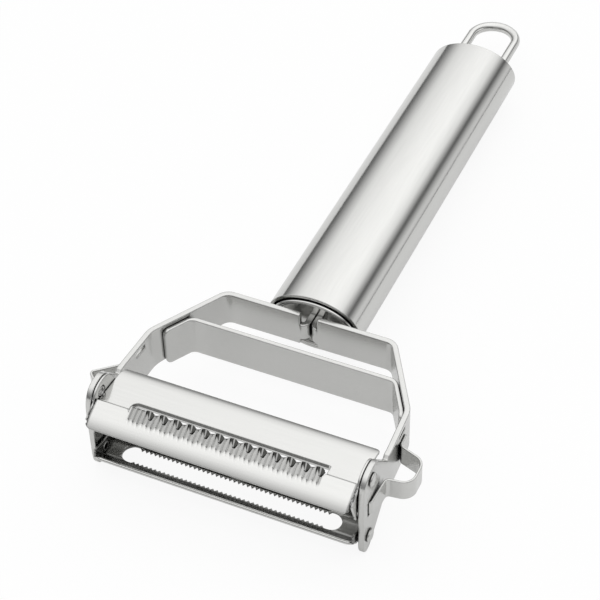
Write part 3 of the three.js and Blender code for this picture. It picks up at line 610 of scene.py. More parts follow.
def polished_blade_steel(finish):
    """Hardened stainless sheet, polished before pressing: clear reflections that stretch over every bend."""
    tones = (finish.blade, finish.blade_shade)
    return steel("polished_blade_steel", tones, (finish.blade_roughness, 0.02), (12.0, 0.5, 0.5), 0.0003)


def shade_painted_tooth_steel(finish):
    """Flanks of the teeth in a dull dark grey of painted shade."""
    tones = (finish.shaded_flank, finish.shaded_flank_grain)
    rough = (finish.sheared_roughness, 0.05)
    return steel("shade_painted_tooth_steel", tones, rough, (0.4, 0.4, 0.4), 0.001, hollow=0.3, line=0.0)


def shade_painted_lip_steel(finish):
    """The cut edge behind the teeth in a painted mid grey shade, with fine upright lines from the punch."""
    tones = (finish.shaded_lip, finish.shaded_flank)
    rough = (finish.sheared_roughness, 0.05)
    return steel("shade_painted_lip_steel", tones, rough, (0.3, 0.3, 4.0), 0.001, hollow=0.3, line=0.0)


def shade_painted_trough_steel(finish):
    """Hardened stainless sheet with painted shade over its trough: dark in the hollow, bright on the rims."""
    tones = (finish.lower, finish.lower_shade)
    rough = (finish.blade_roughness, 0.03)
    return steel("shade_painted_trough_steel", tones, rough, (9.0, 0.5, 0.5), 0.0004, hollow=9.0, line=0.0)


def brushed_tube_steel(finish):
    """Drawn stainless tube, brushed with a fine belt: long soft reflections with a faint grain."""
    tones = (finish.tube, finish.tube_shade)
    return steel("brushed_tube_steel", tones, (finish.tube_roughness, 0.02), (0.5, 14.0, 0.5), 0.0003)


def drawn_wire_steel(finish):
    """Drawn stainless wire: nearly a mirror, with fine die lines along it."""
    tones = (finish.blade, finish.tube_shade)
    return steel("drawn_wire_steel", tones, (finish.wire_roughness, 0.02), (0.4, 8.0, 0.4), 0.0002)


def pressed_plug_steel(finish):
    """Deep-drawn stainless cup: bright on the bead, darker in the dish with painted shade."""
    tones = (finish.tube, finish.strip_shade)
    return steel("pressed_plug_steel", tones, (finish.wire_roughness, 0.03), (0.8, 0.8, 0.8), 0.0004)


def headed_rivet_steel(finish):
    """Cold-headed stainless rivet: small bright domes with a slightly uneven struck surface."""
    tones = (finish.strip, finish.strip_shade)
    return steel("headed_rivet_steel", tones, (finish.rivet_roughness, 0.04), (0.6, 0.6, 0.6), 0.002)


# What a user may change

class PeelerSizes(bpy.types.PropertyGroup):
    """Sizes of the details that are made here."""

    strip_edge: bpy.props.FloatProperty(
        name="Strip edge",
        description="Rounding of the yoke's stamped edges",
        default=0.00028, unit="LENGTH", precision=5,
    )
    blade_sheet: bpy.props.FloatProperty(
        name="Blade sheet", description="Thickness of both blades", default=0.0006, unit="LENGTH", precision=5
    )
    blade_edge: bpy.props.FloatProperty(
        name="Blade edge",
        description="Rounding of the blades' plain edges",
        default=0.00018, unit="LENGTH", precision=5,
    )
    tooth_count: bpy.props.IntProperty(
        name="Julienne teeth", description="Teeth in the julienne blade's opening", default=14, min=2
    )
    saw_pitch: bpy.props.FloatProperty(
        name="Saw pitch",
        description="From one tooth of the serrated slot to the next",
        default=0.0012, unit="LENGTH", precision=5,
    )
    saw_depth: bpy.props.FloatProperty(
        name="Saw depth", description="Height of the slot's teeth", default=0.0007, unit="LENGTH", precision=5
    )
    wire_radius: bpy.props.FloatProperty(
        name="Wire radius",
        description="Radius of the hanging loop's wire",
        default=0.0014, unit="LENGTH", precision=5,
    )


class PeelerFinish(bpy.types.PropertyGroup):
    """Colours and gloss of the steels."""

    strip: bpy.props.FloatVectorProperty(
        name="Strip", description="Yoke, brace and gouges", subtype="COLOR", default=linear("#CDCDCB")
    )
    strip_shade: bpy.props.FloatVectorProperty(
        name="Strip shade",
        description="Darker tone of the strip's grain",
        subtype="COLOR", default=linear("#C4C4C2"),
    )
    strip_roughness: bpy.props.FloatProperty(
        name="Strip roughness",
        description="Of the tumbled strip",
        default=0.22, subtype="FACTOR", min=0, max=1,
    )
    blade: bpy.props.FloatVectorProperty(
        name="Blade", description="Both blades and the wire", subtype="COLOR", default=linear("#D2D2D0")
    )
    blade_shade: bpy.props.FloatVectorProperty(
        name="Blade shade",
        description="Darker tone of the blades' grain",
        subtype="COLOR", default=linear("#CACAC8"),
    )
    blade_roughness: bpy.props.FloatProperty(
        name="Blade roughness",
        description="Of the polished sheet",
        default=0.14, subtype="FACTOR", min=0, max=1,
    )
    # Painted shade on the teeth's flanks
    shaded_flank: bpy.props.FloatVectorProperty(
        name="Sheared edges", description="Teeth and cut edges", subtype="COLOR", default=linear("#565654")
    )
    shaded_flank_grain: bpy.props.FloatVectorProperty(
        name="Sheared shade", description="Darker tone of the cut", subtype="COLOR", default=linear("#424240")
    )
    sheared_roughness: bpy.props.FloatProperty(
        name="Sheared roughness", description="Roughness of the cut edges", default=0.32, min=0.05, max=0.9
    )
    # Painted shade on the cut edge behind the teeth
    shaded_lip: bpy.props.FloatVectorProperty(
        name="Cut lip", description="Cut edge behind the teeth", subtype="COLOR", default=linear("#9C9C9A")
    )
    # The serrated blade darkened with painted shade, where it lies under the upper blade
    lower: bpy.props.FloatVectorProperty(
        name="Lower blade", description="Serrated blade", subtype="COLOR", default=linear("#8E8E8C")
    )
    lower_shade: bpy.props.FloatVectorProperty(
        name="Lower blade shade",
        description="Darker tone of its grain",
        subtype="COLOR", default=linear("#7C7C7A"),
    )
    tube: bpy.props.FloatVectorProperty(
        name="Tube", description="Handle", subtype="COLOR", default=linear("#CDCDCB")
    )
    tube_shade: bpy.props.FloatVectorProperty(
        name="Tube shade",
        description="Darker tone of the tube's grain",
        subtype="COLOR", default=linear("#C5C5C3"),
    )
    tube_roughness: bpy.props.FloatProperty(
        name="Tube roughness", description="Of the brushed tube", default=0.13, subtype="FACTOR", min=0, max=1
    )
    wire_roughness: bpy.props.FloatProperty(
        name="Wire roughness",
        description="Of the loop, plug and cap",
        default=0.16, subtype="FACTOR", min=0, max=1,
    )
    rivet_roughness: bpy.props.FloatProperty(
        name="Rivet roughness", description="Of the rivet heads", default=0.24, subtype="FACTOR", min=0, max=1
    )


class PeelerStudio(bpy.types.PropertyGroup):
    """The table, the light and the camera."""

    floor: bpy.props.FloatVectorProperty(
        name="Floor", description="Table under the peeler", subtype="COLOR", default=linear("#F4F4F4")
    )
    light: bpy.props.FloatProperty(
        name="Light", description="Strength of the soft light overhead", default=1.55, min=0
    )
    lens: bpy.props.FloatProperty(
        name="Lens", description="Focal length", default=109.261, subtype="DISTANCE_CAMERA"
    )


def mm(length):
    return length * 1000.0


# Pieces

def lug_top():
    """Upper outline of a lug in the side view, from its rear shoulder over its apex to its front edge."""
    top_control = (LUG_SHOULDER[0] - LUG_ROUNDING, LUG_APEX[1])
    front_controls = ((LUG_FRONT + LUG_ROUNDING, LUG_APEX[1]), (LUG_FRONT, JULIENNE_PIVOT[1]))
    front_end = (LUG_FRONT, LUG_FRONT_TOP)
    rear = quadratic(LUG_SHOULDER, top_control, LUG_APEX)
    return [LUG_SHOULDER, *rear, *cubic(LUG_APEX, *front_controls, front_end)]


def yoke_half(edge):
    line = BentLine(
        [
            (TANG_X, TANG_END),
            (TANG_X, CROSSBAR_Y, TANG_BEND),
            (SHOULDER_X, CROSSBAR_Y, SHOULDER_BEND),
            (ELBOW_X, ELBOW_Y, ELBOW_BEND),
            (LUG_X, SPLAY_END, SPLAY_BEND),
            (LUG_X, LUG_FRONT),
        ]
    )
    notch = line.find(0, TANG_NOTCH)
    arm = line.find(0, SHOULDER_X)

    def side(point, radius=0.0):
        """A point of the side view on the blank."""
        return (line.find(1, point[0], arm) if point[0] > LUG_FRONT else line.total, point[1], radius)

    tip_start = (LUG_FRONT, LUG_TIP[1] + LUG_TIP_RISE)
    heel_start = (LUG_HEEL[0] - LUG_ROUNDING, LUG_HEEL[1] - LUG_ROUNDING)
    heel_end = (LUG_HEEL[0] + LUG_ROUNDING, LUG_HEEL[1])
    lug = [
        *lug_top(),
        tip_start,
        *quadratic(tip_start, (LUG_FRONT, LUG_TIP[1]), LUG_TIP),
        *quadratic(LUG_TIP, (LUG_TIP[0] + LUG_ROUNDING, LUG_TIP[1]), LUG_TIP_REAR),
        heel_start,
        *quadratic(heel_start, LUG_HEEL, heel_end),
    ]
    corner = YOKE_CORNER
    outline = rounded(
        [
            (0.0, TANG_BOTTOM, corner),
            (0.0, TANG_TOP, corner),
            (notch, TANG_TOP, corner),
            (notch, 0.0, corner),
            side((LUG_REAR + LUG_NOTCH, 0.0), corner),
            side((LUG_REAR, -LUG_NOTCH), corner),
            *[side(point) for point in lug],
            side((ELBOW_Y, -ARM_HEIGHT)),
            side((CROSSBAR_Y - SHOULDER_BEND, -CROSSBAR_HEIGHT)),
            (notch, -CROSSBAR_HEIGHT, corner),
            (notch, TANG_BOTTOM, corner),
        ]
    )
    slots = []
    for front, rear, low, high in (TAB_SLOT, FOOT_SLOT):
        spots = ((rear, high), (front, high), (front, low), (rear, low))
        slots.append(rounded([side(spot, YOKE_SLOT_CORNER) for spot in spots]))
    holes = [circle(side(pivot)[:2], RIVET_RADIUS + FIXED_GAP) for pivot in (JULIENNE_PIVOT, SERRATED_PIVOT)]
    tang_hole = circle((TANG_END - TANG_RIVET[0], TANG_RIVET[1]), TANG_RIVET_RADIUS + FIXED_GAP)
    bm = blank([outline, *slots, *holes, tang_hole], edge)
    fold(bm, line, in_plan)
    half = thicken(bm, YOKE_SHEET, edge)
    for vert in half.verts:
        pressed = min(1.0, max(0.0, (vert.co.y - CROSSBAR_REAR) / TANG_PRESSED))
        if vert.co.x < TANG_X:
            vert.co.x -= pressed * TANG_SEAM * TANG_CLOSED
        elif vert.co.x < TANG_NOTCH:
            vert.co.x += pressed * TANG_FLARE
    return half


def inside_run(start, end, set_in, y):
    """X of a line along a straight run of the yoke, set inwards from its centre line, at a given Y."""
    run = (Vector(end) - Vector(start)).normalized()
    begin = Vector(start) + Vector((run.y, -run.x)) * set_in
    return begin.x + (y - begin.y) * run.x / run.y


def brace(edge):
    """The brace: its left leg ends on the oblique run, and its right one goes on round the elbow."""
    set_in = (YOKE_SHEET + BRACE_SHEET) / 2 + WELD_GAP
    bar = BRACE_FRONT + BRACE_SHEET / 2
    elbow, lug = (ELBOW_X, ELBOW_Y), (LUG_X, SPLAY_END)

    def oblique(y):
        return inside_run((SHOULDER_X, CROSSBAR_Y), elbow, set_in, y)

    def arm(y):
        return inside_run(elbow, lug, set_in, y)

    apart, apart_next = arm(bar) - oblique(bar), arm(bar - 1) - oblique(bar - 1)
    meet = bar - apart / (apart - apart_next)
    line = BentLine(
        [
            (-oblique(BRACE_LEG_END), BRACE_LEG_END),
            (-oblique(bar), bar, BRACE_BEND),
            (oblique(bar), bar, BRACE_BEND),
            (oblique(meet), meet, ELBOW_BEND - set_in),
            (arm(BRACE_LONG_LEG_END), BRACE_LONG_LEG_END),
        ]
    )
    low = BRACE_TOP - BRACE_HEIGHT
    outline = rounded(
        [
            (0.0, low, BRACE_CORNER),
            (line.total, low, BRACE_CORNER),
            (line.total, BRACE_TOP, BRACE_CORNER),
            (0.0, BRACE_TOP, BRACE_CORNER),
        ]
    )
    bm = blank([outline], edge)
    fold(bm, line, in_plan)
    return thicken(bm, BRACE_SHEET, edge)


def arm_face(y):
    """X of the arm's outer face at a given Y, between its elbow and its lug."""
    share = min(1.0, max(0.0, (ELBOW_Y - y) / (ELBOW_Y - SPLAY_END)))
    return ELBOW_X + (LUG_X - ELBOW_X) * share + YOKE_SHEET / 2


def gouge(leaves, nose_rear, nose_front, nose_bend, returns):
    """An eye gouge on the right-hand side."""
    stand = WELD_GAP + GOUGE_SHEET / 2
    nose = HEAD_HALF_WIDTH + GOUGE_REACH - GOUGE_SHEET / 2
    lug_line = HEAD_HALF_WIDTH + stand
    line = BentLine(
        [
            (arm_face(GOUGE_FOOT_REAR) + stand, GOUGE_FOOT_REAR),
            (arm_face(leaves) + stand, leaves, GOUGE_BEND),
            (nose, nose_rear, nose_bend),
            (nose, nose_front, nose_bend),
            (lug_line + GOUGE_STAND, returns, GOUGE_BEND),
            (lug_line, GOUGE_TAB_Y, GOUGE_SHEET),
            (LUG_INNER + GOUGE_SLOT_GAP, GOUGE_TAB_Y),
        ]
    )
    taper = line.find(1, returns - 2 * GOUGE_BEND)
    tab = line.find(1, GOUGE_TAB_Y + GOUGE_STAND)
    outline = rounded(
        [
            (0.0, GOUGE_BOTTOM, GOUGE_CORNER),
            (taper, GOUGE_BOTTOM, GOUGE_SHOULDER),
            (tab, GOUGE_TAB_BOTTOM, GOUGE_TAB_FOOT),
            (line.total, GOUGE_TAB_BOTTOM, GOUGE_TAB_CORNER),
            (line.total, GOUGE_TAB_TOP, GOUGE_TAB_CORNER),
            (tab, GOUGE_TAB_TOP),
            (taper, GOUGE_TOP),
            (0.0, GOUGE_TOP, GOUGE_CORNER),
        ]
    )
    bm = blank([outline], GOUGE_EDGE)
    fold(bm, line, in_plan)
    return thicken(bm, GOUGE_SHEET, GOUGE_EDGE)


def end_plate(outline, hole, outer, sheet, edge, extra=()):
    """A blade's end flange with its ear, in the side view, on both ends of the blade."""
    both = bmesh.new()
    for side in (1, -1):
        bm = blank([outline, hole, *extra], edge)
        for vert in bm.verts:
            vert.co = (side * (outer - sheet / 2), vert.co.x, vert.co.y)
        merge(both, thicken(bm, sheet, edge))
    return both


def julienne_rear(sheet, edge):
    line = BentLine([REAR_LIP, (*REAR_KNEE, REAR_BEND), REAR_EDGE])
    opening = line.find(0, OPENING_REAR)
    end = line.total + sheet / 2
    half = JULIENNE_HALF - sheet / 2
    outline = rounded(
        [
            (0.0, -half, LAP_CORNER),
            (end, -half, BLADE_CORNER),
            (end, half, BLADE_CORNER),
            (0.0, half, LAP_CORNER),
            (0.0, OPENING_HALF, LAP_FOOT),
            (opening, OPENING_HALF, OPENING_CORNER_RIGHT),
            (opening, -OPENING_HALF, OPENING_CORNER_LEFT),
            (0.0, -OPENING_HALF, LAP_FOOT),
        ]
    )
    bm = blank([outline], edge)
    fold(bm, line, in_side)
    plate = thicken(bm, sheet, edge)
    middle = line.at(opening)[0].y
    for vert in plate.verts:
        at_lip = abs(vert.co.y - OPENING_REAR) < 2 * edge and abs(vert.co.x) < OPENING_HALF - edge
        if at_lip and vert.co.z < middle:
            vert.co.z -= LIP_DROP
    return plate


def flute_cut(x, y, pitch):
    """How deep the grinding wheel has cut at a place: flutes side by side, each with a pointed front end."""
    width = pitch / FLUTES
    number, share = divmod((x + OPENING_HALF) / width, 1.0)
    tip = FLUTE_TIPS[int(number) % len(FLUTE_TIPS)]
    across = min(share / FLUTE_STEEP, (1 - share) / (1 - FLUTE_STEEP))
    along = min(1.0, max(0.0, (y - tip) / FLUTE_POINT))
    return FLUTE_DEPTH * max(0.0, across + along - 1)


def tooth_rear(x, pitch):
    """Y of the fluted sheet's rear edge: it rises to each upright point and falls away behind it."""
    tooth, place = divmod((x + OPENING_HALF - TOOTH_REAR[0][0]) / pitch - TOOTH_RIDGE, 1.0)
    if tooth < 1:
        return TOOTH_PLAIN_REAR
    from_ridge = place * pitch + TOOTH_REAR[0][0]
    table = [*TOOTH_REAR, (TOOTH_REAR[0][0] + pitch, TOOTH_REAR[0][1])]
    for (a, low), (b, high) in zip(table, table[1:]):
        if from_ridge <= b:
            return low + (high - low) * (from_ridge - a) / (b - a)
    return table[-1][1]


def on_slope(y):
    """Height of the front half's middle surface, carried on straight over the teeth."""
    return FRONT_LIP[1] + (y - FRONT_LIP[0]) * (FRONT_LIP[1] - FRONT_KNEE[1]) / (FRONT_LIP[0] - FRONT_KNEE[0])


def julienne_front(sheet, edge, teeth):
    """The blade's front half as one grid: plain at its ends, and between them fluted up to the teeth."""
    line = BentLine([FRONT_LIP, (*FRONT_KNEE, FRONT_BEND), FRONT_EDGE], 3.0)
    root = line.find(0, TOOTH_ROOT)
    pitch = 2 * OPENING_HALF / teeth
    steep = (FLUTE_STEEP - FLUTE_CREASE, FLUTE_STEEP, FLUTE_STEEP + FLUTE_CREASE)
    shares = (0.0, FLUTE_CREASE, *steep, FLUTE_LONG_SIDE, 1 - FLUTE_CREASE)
    places = [number + share for number in range(teeth * FLUTES + 1) for share in shares]
    flutes = [place * pitch / FLUTES - OPENING_HALF for place in places]
    flutes = [FLUTED_LEFT, *[x for x in flutes if FLUTED_LEFT < x < FLUTED_RIGHT], FLUTED_RIGHT]
    half = JULIENNE_HALF - sheet / 2
    wings = []
    for way, end in ((-1, FLUTED_LEFT), (1, FLUTED_RIGHT)):
        beside = [abs(end) + WING_CORNER * k / 5 for k in range(1, 6)]
        wing = [abs(end) + WING_GAP, *beside, half - 2 * BLADE_CORNER]
        corner = [half - BLADE_CORNER * (1 - math.sin(math.pi / 2 * k / 6)) for k in range(7)]
        corner[-1] -= edge
        wings.append([way * x for x in wing + corner])
    columns = [*reversed(wings[0]), *flutes, *wings[1]]
    plain = [station for station in line.stations if station > root + 0.1]
    plain += [line.total + (sheet / 2 - edge) * k / 2 for k in range(3)]

    def point(x, row):
        cut = max(0.0, abs(x) - (half - BLADE_CORNER)) / BLADE_CORNER
        shorter = BLADE_CORNER * (1 - math.sqrt(max(0.0, 1 - cut * cut)))
        if row > FLUTE_ROWS:
            at, _ = line.at(min(plain[row - FLUTE_ROWS - 1], plain[-1] - shorter))
            return Vector((x, at.x, at.y))
        outside = max(FLUTED_LEFT - x, x - FLUTED_RIGHT)
        if outside > 0.01:
            near = max(0.0, 1 - outside / WING_CORNER)
            start = WING_CORNER * (1 - math.sqrt(1 - near * near))
            at, _ = line.at(start + (root - start) * row / FLUTE_ROWS)
            return Vector((x, at.x, at.y))
        rear = tooth_rear(x, pitch)
        y = rear + (TOOTH_ROOT - rear) * row / FLUTE_ROWS
        return Vector((x, y, on_slope(y)))

    bm = bmesh.new()
    rows = FLUTE_ROWS + 1 + len(plain)
    grid = [[bm.verts.new(point(x, row)) for row in range(rows)] for x in columns]
    ground = {}
    for x, column in zip(columns, grid):
        for vert in column:
            ground[vert] = flute_cut(x, vert.co.y, pitch) if FLUTED_LEFT <= x <= FLUTED_RIGHT else 0.0
    for a, b in zip(grid, grid[1:]):
        for row in range(rows - 1):
            bm.faces.new((a[row], a[row + 1], b[row + 1], b[row]))
    return thicken(bm, sheet, edge, ground=ground)


def tooth_ridges(teeth):
    """X of every upright point's ridge. The first pitch on the left has none."""
    pitch = 2 * OPENING_HALF / teeth
    return [(tooth + TOOTH_RIDGE) * pitch - OPENING_HALF for tooth in range(1, teeth)]


def over_slope(ridge, corner, sheet, lift=0.0):
    x, y, height = corner
    return Vector((ridge + x, y, on_slope(y) + sheet * POINT_SEAT + height + lift))


def tooth_faces(corners, sheet, teeth):
    """One sharp face of every upright point, with some depth below it."""
    bm = bmesh.new()
    for ridge in tooth_ridges(teeth):
        top = [over_slope(ridge, corner, sheet) for corner in corners]
        under = [over_slope(ridge, corner, sheet, -POINT_DEPTH) for corner in corners]
        merge(bm, loft([top, under], closed_section=False))
    for e in bm.edges:
        e.smooth = False
    return bm


def shade_painted_lip_strip():
    """The rear half's cut edge along the opening, round its left corner, as a strip coloured with painted
    shade.
    """
    left = -OPENING_HALF + OPENING_CORNER_LEFT
    middle = (left, OPENING_REAR - OPENING_CORNER_LEFT)
    path = [
        (OPENING_HALF - 2 * OPENING_CORNER_RIGHT, OPENING_REAR),
        *arc(middle, OPENING_CORNER_LEFT, 90, 180, 8),
        (-OPENING_HALF, REAR_LIP[0] + LIP_STOP),
    ]
    rings = []
    for i, here in enumerate(path):
        a, b = Vector(path[max(0, i - 1)]), Vector(path[min(len(path) - 1, i + 1)])
        along = (b - a).normalized()
        inwards = Vector((-along.y, along.x))
        front, back = Vector(here) + inwards * LIP_PROUD, Vector(here) - inwards * LIP_BEHIND
        rings.append([(*front, LIP_TOP), (*front, LIP_BOTTOM), (*back, LIP_BOTTOM), (*back, LIP_TOP)])
    bm = loft(rings, closed_section=False)
    for e in bm.edges:
        e.smooth = False
    return bm


def julienne_ears(sheet, edge):
    tail_shoulder = TAIL_BOTTOM + TAIL_HOLE_INSET
    tail_middle = ((TAIL_FRONT + TAIL_REAR) / 2, TAIL_BOTTOM)
    step = 1.0
    middle = Vector(JULIENNE_PIVOT)
    lug = [Vector(p) for p in lug_top() if p[1] > JULIENNE_PIVOT[1] - EAR_HOLE]
    outline = [
        FRONT_KNEE,
        (TAIL_FRONT, tail_shoulder),
        *quadratic((TAIL_FRONT, tail_shoulder), (TAIL_FRONT, TAIL_BOTTOM), tail_middle),
        *quadratic(tail_middle, (TAIL_REAR, TAIL_BOTTOM), (TAIL_REAR, tail_shoulder)),
        (TAIL_REAR + step, FLANGE_DROP),
        (FLANGE_REAR - step, FLANGE_DROP),
        (FLANGE_REAR, REAR_KNEE[1]),
        *[tuple(middle + (p - middle) * (1 - EAR_INSIDE_LUG / (p - middle).length)) for p in lug],
    ]
    hole = circle(JULIENNE_PIVOT, EAR_HOLE)
    tail_hole = circle((tail_middle[0], tail_shoulder), TAIL_HOLE_RADIUS)
    return end_plate(outline, hole, LUG_INNER - EAR_GAP, sheet, edge, [tail_hole])


def saw_slot(line, pitch, depth):
    """Outline of the serrated slot on the blank: round ends, and saw teeth along both straight edges."""
    rear, front = line.find(0, SLOT_REAR), line.find(0, SLOT_FRONT)
    radius, middle = (front - rear) / 2, (front + rear) / 2
    straight = SLOT_HALF - radius
    teeth = int(2 * (straight - SAW_MARGIN) / pitch)
    start = teeth * pitch / 2
    loop = []
    for edge, way in ((front, 1), (rear, -1)):
        for tooth in range(teeth):
            x = way * (tooth * pitch - start)
            loop += [(edge, x), (edge - way * depth, x + way * pitch / 2)]
        loop.append((edge, way * start))
        turn = 0 if way > 0 else 180
        loop += arc((middle, way * straight), radius, turn, turn + 180, 12)
    return loop


def round_bar(centre, across, up, radius, sides):
    """A ring of points about a place on a round bar, from two unit vectors square to the bar."""
    turns = [math.tau * k / sides for k in range(sides)]
    return [centre + (across * math.cos(t) + up * math.sin(t)) * radius for t in turns]


def rolled_rim(sheet, sides=12):
    """The lower blade's front edge, rolled round into a bead that follows the blank's round corners."""
    line = BentLine(TROUGH)
    half = SERRATED_HALF - sheet / 2
    corner = half - RIM_CORNER
    turn = arc((0.0, RIM_CORNER), RIM_CORNER, 0, -90, 6)
    path = [(-corner - x, y) for x, y in turn] + [(corner + x, y) for x, y in reversed(turn)]
    rings = []
    for i, (x, back) in enumerate(path):
        at, _ = line.at(line.total - back)
        a, b = path[max(0, i - 1)], path[min(len(path) - 1, i + 1)]
        along = Vector((b[0] - a[0], b[1] - a[1], 0.0)).normalized()
        out = Vector((-along.y, along.x, 0.0))
        rings.append(round_bar(Vector((x, at.x, at.y)), out, Vector((0, 0, 1)), RIM_BEAD, sides))
    return loft(rings, closed_section=False)


def serrated(sheet, edge, pitch, depth):
    line = BentLine(TROUGH)
    half = SERRATED_HALF - sheet / 2
    outline = rounded(
        [
            (0.0, -half, RIM_CORNER_REAR),
            (line.total, -half, RIM_CORNER),
            (line.total, half, RIM_CORNER),
            (0.0, half, RIM_CORNER_REAR),
        ]
    )
    bm = blank([outline, saw_slot(line, pitch, depth)], edge / 2)
    fold(bm, line, in_side)
    whole = thicken(bm, sheet, edge / 2)
    rear, floor_rear, floor_front, front = TROUGH
    flange = [
        front[:2],
        floor_front[:2],
        *arc(SERRATED_PIVOT, EAR_RADIUS, 186, 354),
        floor_rear[:2],
        rear[:2],
        (rear[0] - sheet, FLANGE_REAR_TOP),
        (SERRATED_PIVOT[0], FLANGE_REAR_TOP),
        (front[0] + sheet / 2, FLANGE_FRONT_TOP),
    ]
    hole = circle(SERRATED_PIVOT, EAR_HOLE)
    merge(whole, end_plate(flange, hole, SERRATED_HALF, sheet, edge))
    return whole


def pivot_rivet(pivot, ear_outer, sheet):
    """A pivot rivet on the right: domed head outside the lug, shank, and hollow end spread in the ear."""
    head = HEAD_HALF_WIDTH + WELD_GAP
    tail = ear_outer - sheet - WELD_GAP
    turn = (RIVET_TAIL_RADIUS - RIVET_BORE) / 2
    floor = tail + RIVET_BORE_DEPTH
    profile = [
        (0.0, floor),
        (RIVET_BORE, floor),
        *arc((RIVET_BORE + turn, tail + turn), turn, 180, 360, 9),
        (RIVET_TAIL_RADIUS, ear_outer - sheet / 3),
        (RIVET_RADIUS, ear_outer),
        (RIVET_RADIUS, head),
        (RIVET_HEAD_RADIUS, head),
    ]
    dome = RIVET_HEAD_HEIGHT - RIVET_HEAD_RIM
    for k in range(10):
        angle = math.pi / 2 * k / 10
        profile.append((RIVET_HEAD_RADIUS * math.cos(angle), head + RIVET_HEAD_RIM + dome * math.sin(angle)))
    profile.append((0.0, head + RIVET_HEAD_HEIGHT))
    return lathe(profile, pivot)


def tang_rivet():
    face = TANG_X + YOKE_SHEET / 2 + WELD_GAP
    top = face + TANG_HEAD_HEIGHT
    half = [(TANG_RIVET_RADIUS, face), (TANG_HEAD_RADIUS, face)]
    for k in range(7):
        angle = math.pi / 2 * k / 7
        half.append((TANG_HEAD_RADIUS * math.cos(angle), face + TANG_HEAD_HEIGHT * math.sin(angle)))
    half = half[:2] + half[3:] + [(0.0, top)]
    return lathe([(r, -x) for r, x in reversed(half)] + half, TANG_RIVET)


def tube():
    lip = TUBE_LIP
    profile = []
    for y, way in ((HANDLE_FRONT, 1), (HANDLE_REAR, -1)):
        turns = [math.pi / 2 * k / 4 for k in range(5)]
        outer = [(lip * (1 - math.sin(t)), y + way * lip * (1 - math.cos(t))) for t in turns]
        inner = [(HANDLE_WALL - lip * (1 - math.sin(t)), y + way * lip * (1 - math.cos(t))) for t in turns]
        ring = list(reversed(inner)) + outer
        profile += ring if way > 0 else list(reversed(ring))
    return loft([oval(set_in, y) for set_in, y in profile])


def front_plug():
    """Dished plug: a round bead in front of the tube, a step inside it, and a dish that the tang enters."""
    outer = HANDLE_WALL + PLUG_GAP
    front = HANDLE_FRONT - PLUG_STAND
    bead = PLUG_RIM / 2
    profile = [
        (outer + PLUG_DRAFT, front + PLUG_LENGTH),
        *arc((outer + bead, front + bead), bead, 180, 360, 12),
        *[(outer + PLUG_RIM + set_in, front + bead + back) for set_in, back in PLUG_STEP],
        *[(outer + PLUG_RIM + set_in, front + PLUG_DISH + back) for set_in, back in PLUG_FLOOR],
    ]
    return loft([oval(set_in, y) for set_in, y in profile], closed_section=False)


def end_cap():
    outer = HANDLE_WALL + PLUG_GAP
    profile = [
        (outer, HANDLE_REAR - CAP_SKIRT),
        *arc((outer + CAP_TURN, HANDLE_REAR - CAP_TURN), CAP_TURN, 180, 90, 6),
        (outer + CAP_RIM, HANDLE_REAR),
    ]
    return loft([oval(set_in, y) for set_in, y in profile], closed_section=False)


def hanging_loop(radius, sides=20):
    start = HANDLE_REAR - LOOP_TAIL
    bend = HANDLE_REAR + LOOP_REACH - radius - LOOP_HALF_WIDTH
    bow = arc((0.0, bend), LOOP_HALF_WIDTH, 180, 0, 40)
    path = [(-LOOP_HALF_WIDTH, start), *bow, (LOOP_HALF_WIDTH, start)]
    path = [Vector((x, y, HANDLE_Z)) for x, y in path]
    rings = []
    for i, here in enumerate(path):
        ahead, behind = path[min(i + 1, len(path) - 1)], path[max(i - 1, 0)]
        way = ((ahead - here).normalized() + (here - behind).normalized()).normalized()
        rings.append(round_bar(here, Vector((-way.y, way.x, 0.0)), Vector((0, 0, 1)), radius, sides))
    return loft(rings, closed_section=False)


# Operators

class PEELER_OT_handle(bpy.types.Operator):
    """Oval tube of the handle, with rounded rims"""

    bl_idname = "peeler.handle"
    bl_label = "Handle tube"

    def execute(self, context):
        steel_skin = brushed_tube_steel(context.scene.peeler_finish)
        put("oval_tube", tube(), steel_skin, "frame", "handle_steel", "handle_tube")
        return {"FINISHED"}


class PEELER_OT_handle_ends(bpy.types.Operator):
    """Dished plug in the front of the handle and cup in its rear end"""

    bl_idname = "peeler.handle_ends"
    bl_label = "Plug and end cap"

    def execute(self, context):
        steel_skin = pressed_plug_steel(context.scene.peeler_finish)
        put("dished_plug", front_plug(), steel_skin, "frame", "plug_steel", "handle_front_plug")
        put("rear_cup", end_cap(), steel_skin, "frame", "plug_steel", "handle_end_cap")
        return {"FINISHED"}


class PEELER_OT_hanging_loop(bpy.types.Operator):
    """Wire loop that the peeler hangs by"""

    bl_idname = "peeler.hanging_loop"
    bl_label = "Hanging loop"

    def execute(self, context):
        steel_skin = drawn_wire_steel(context.scene.peeler_finish)
        radius = mm(context.scene.peeler_sizes.wire_radius)
        put("wire_loop", hanging_loop(radius), steel_skin, "frame", "wire_steel", "hanging_loop")
        return {"FINISHED"}


class PEELER_OT_yoke(bpy.types.Operator):
    """Two bent strips of the yoke, with their lugs and tang halves, and the brace between them"""

    bl_idname = "peeler.yoke"
    bl_label = "Yoke and brace"

    def execute(self, context):
        steel_skin = tumbled_strip_steel(context.scene.peeler_finish)
        edge = mm(context.scene.peeler_sizes.strip_edge)
        put("yoke_strip_right", yoke_half(edge), steel_skin, "frame", "yoke_steel", "yoke_right")
        left = yoke_half(edge)
        mirror(left)
        put("yoke_strip_left", left, steel_skin, "frame", "yoke_steel", "yoke_left")
        put("brace_strip", brace(edge), steel_skin, "frame", "yoke_steel", "cross_brace")
        return {"FINISHED"}


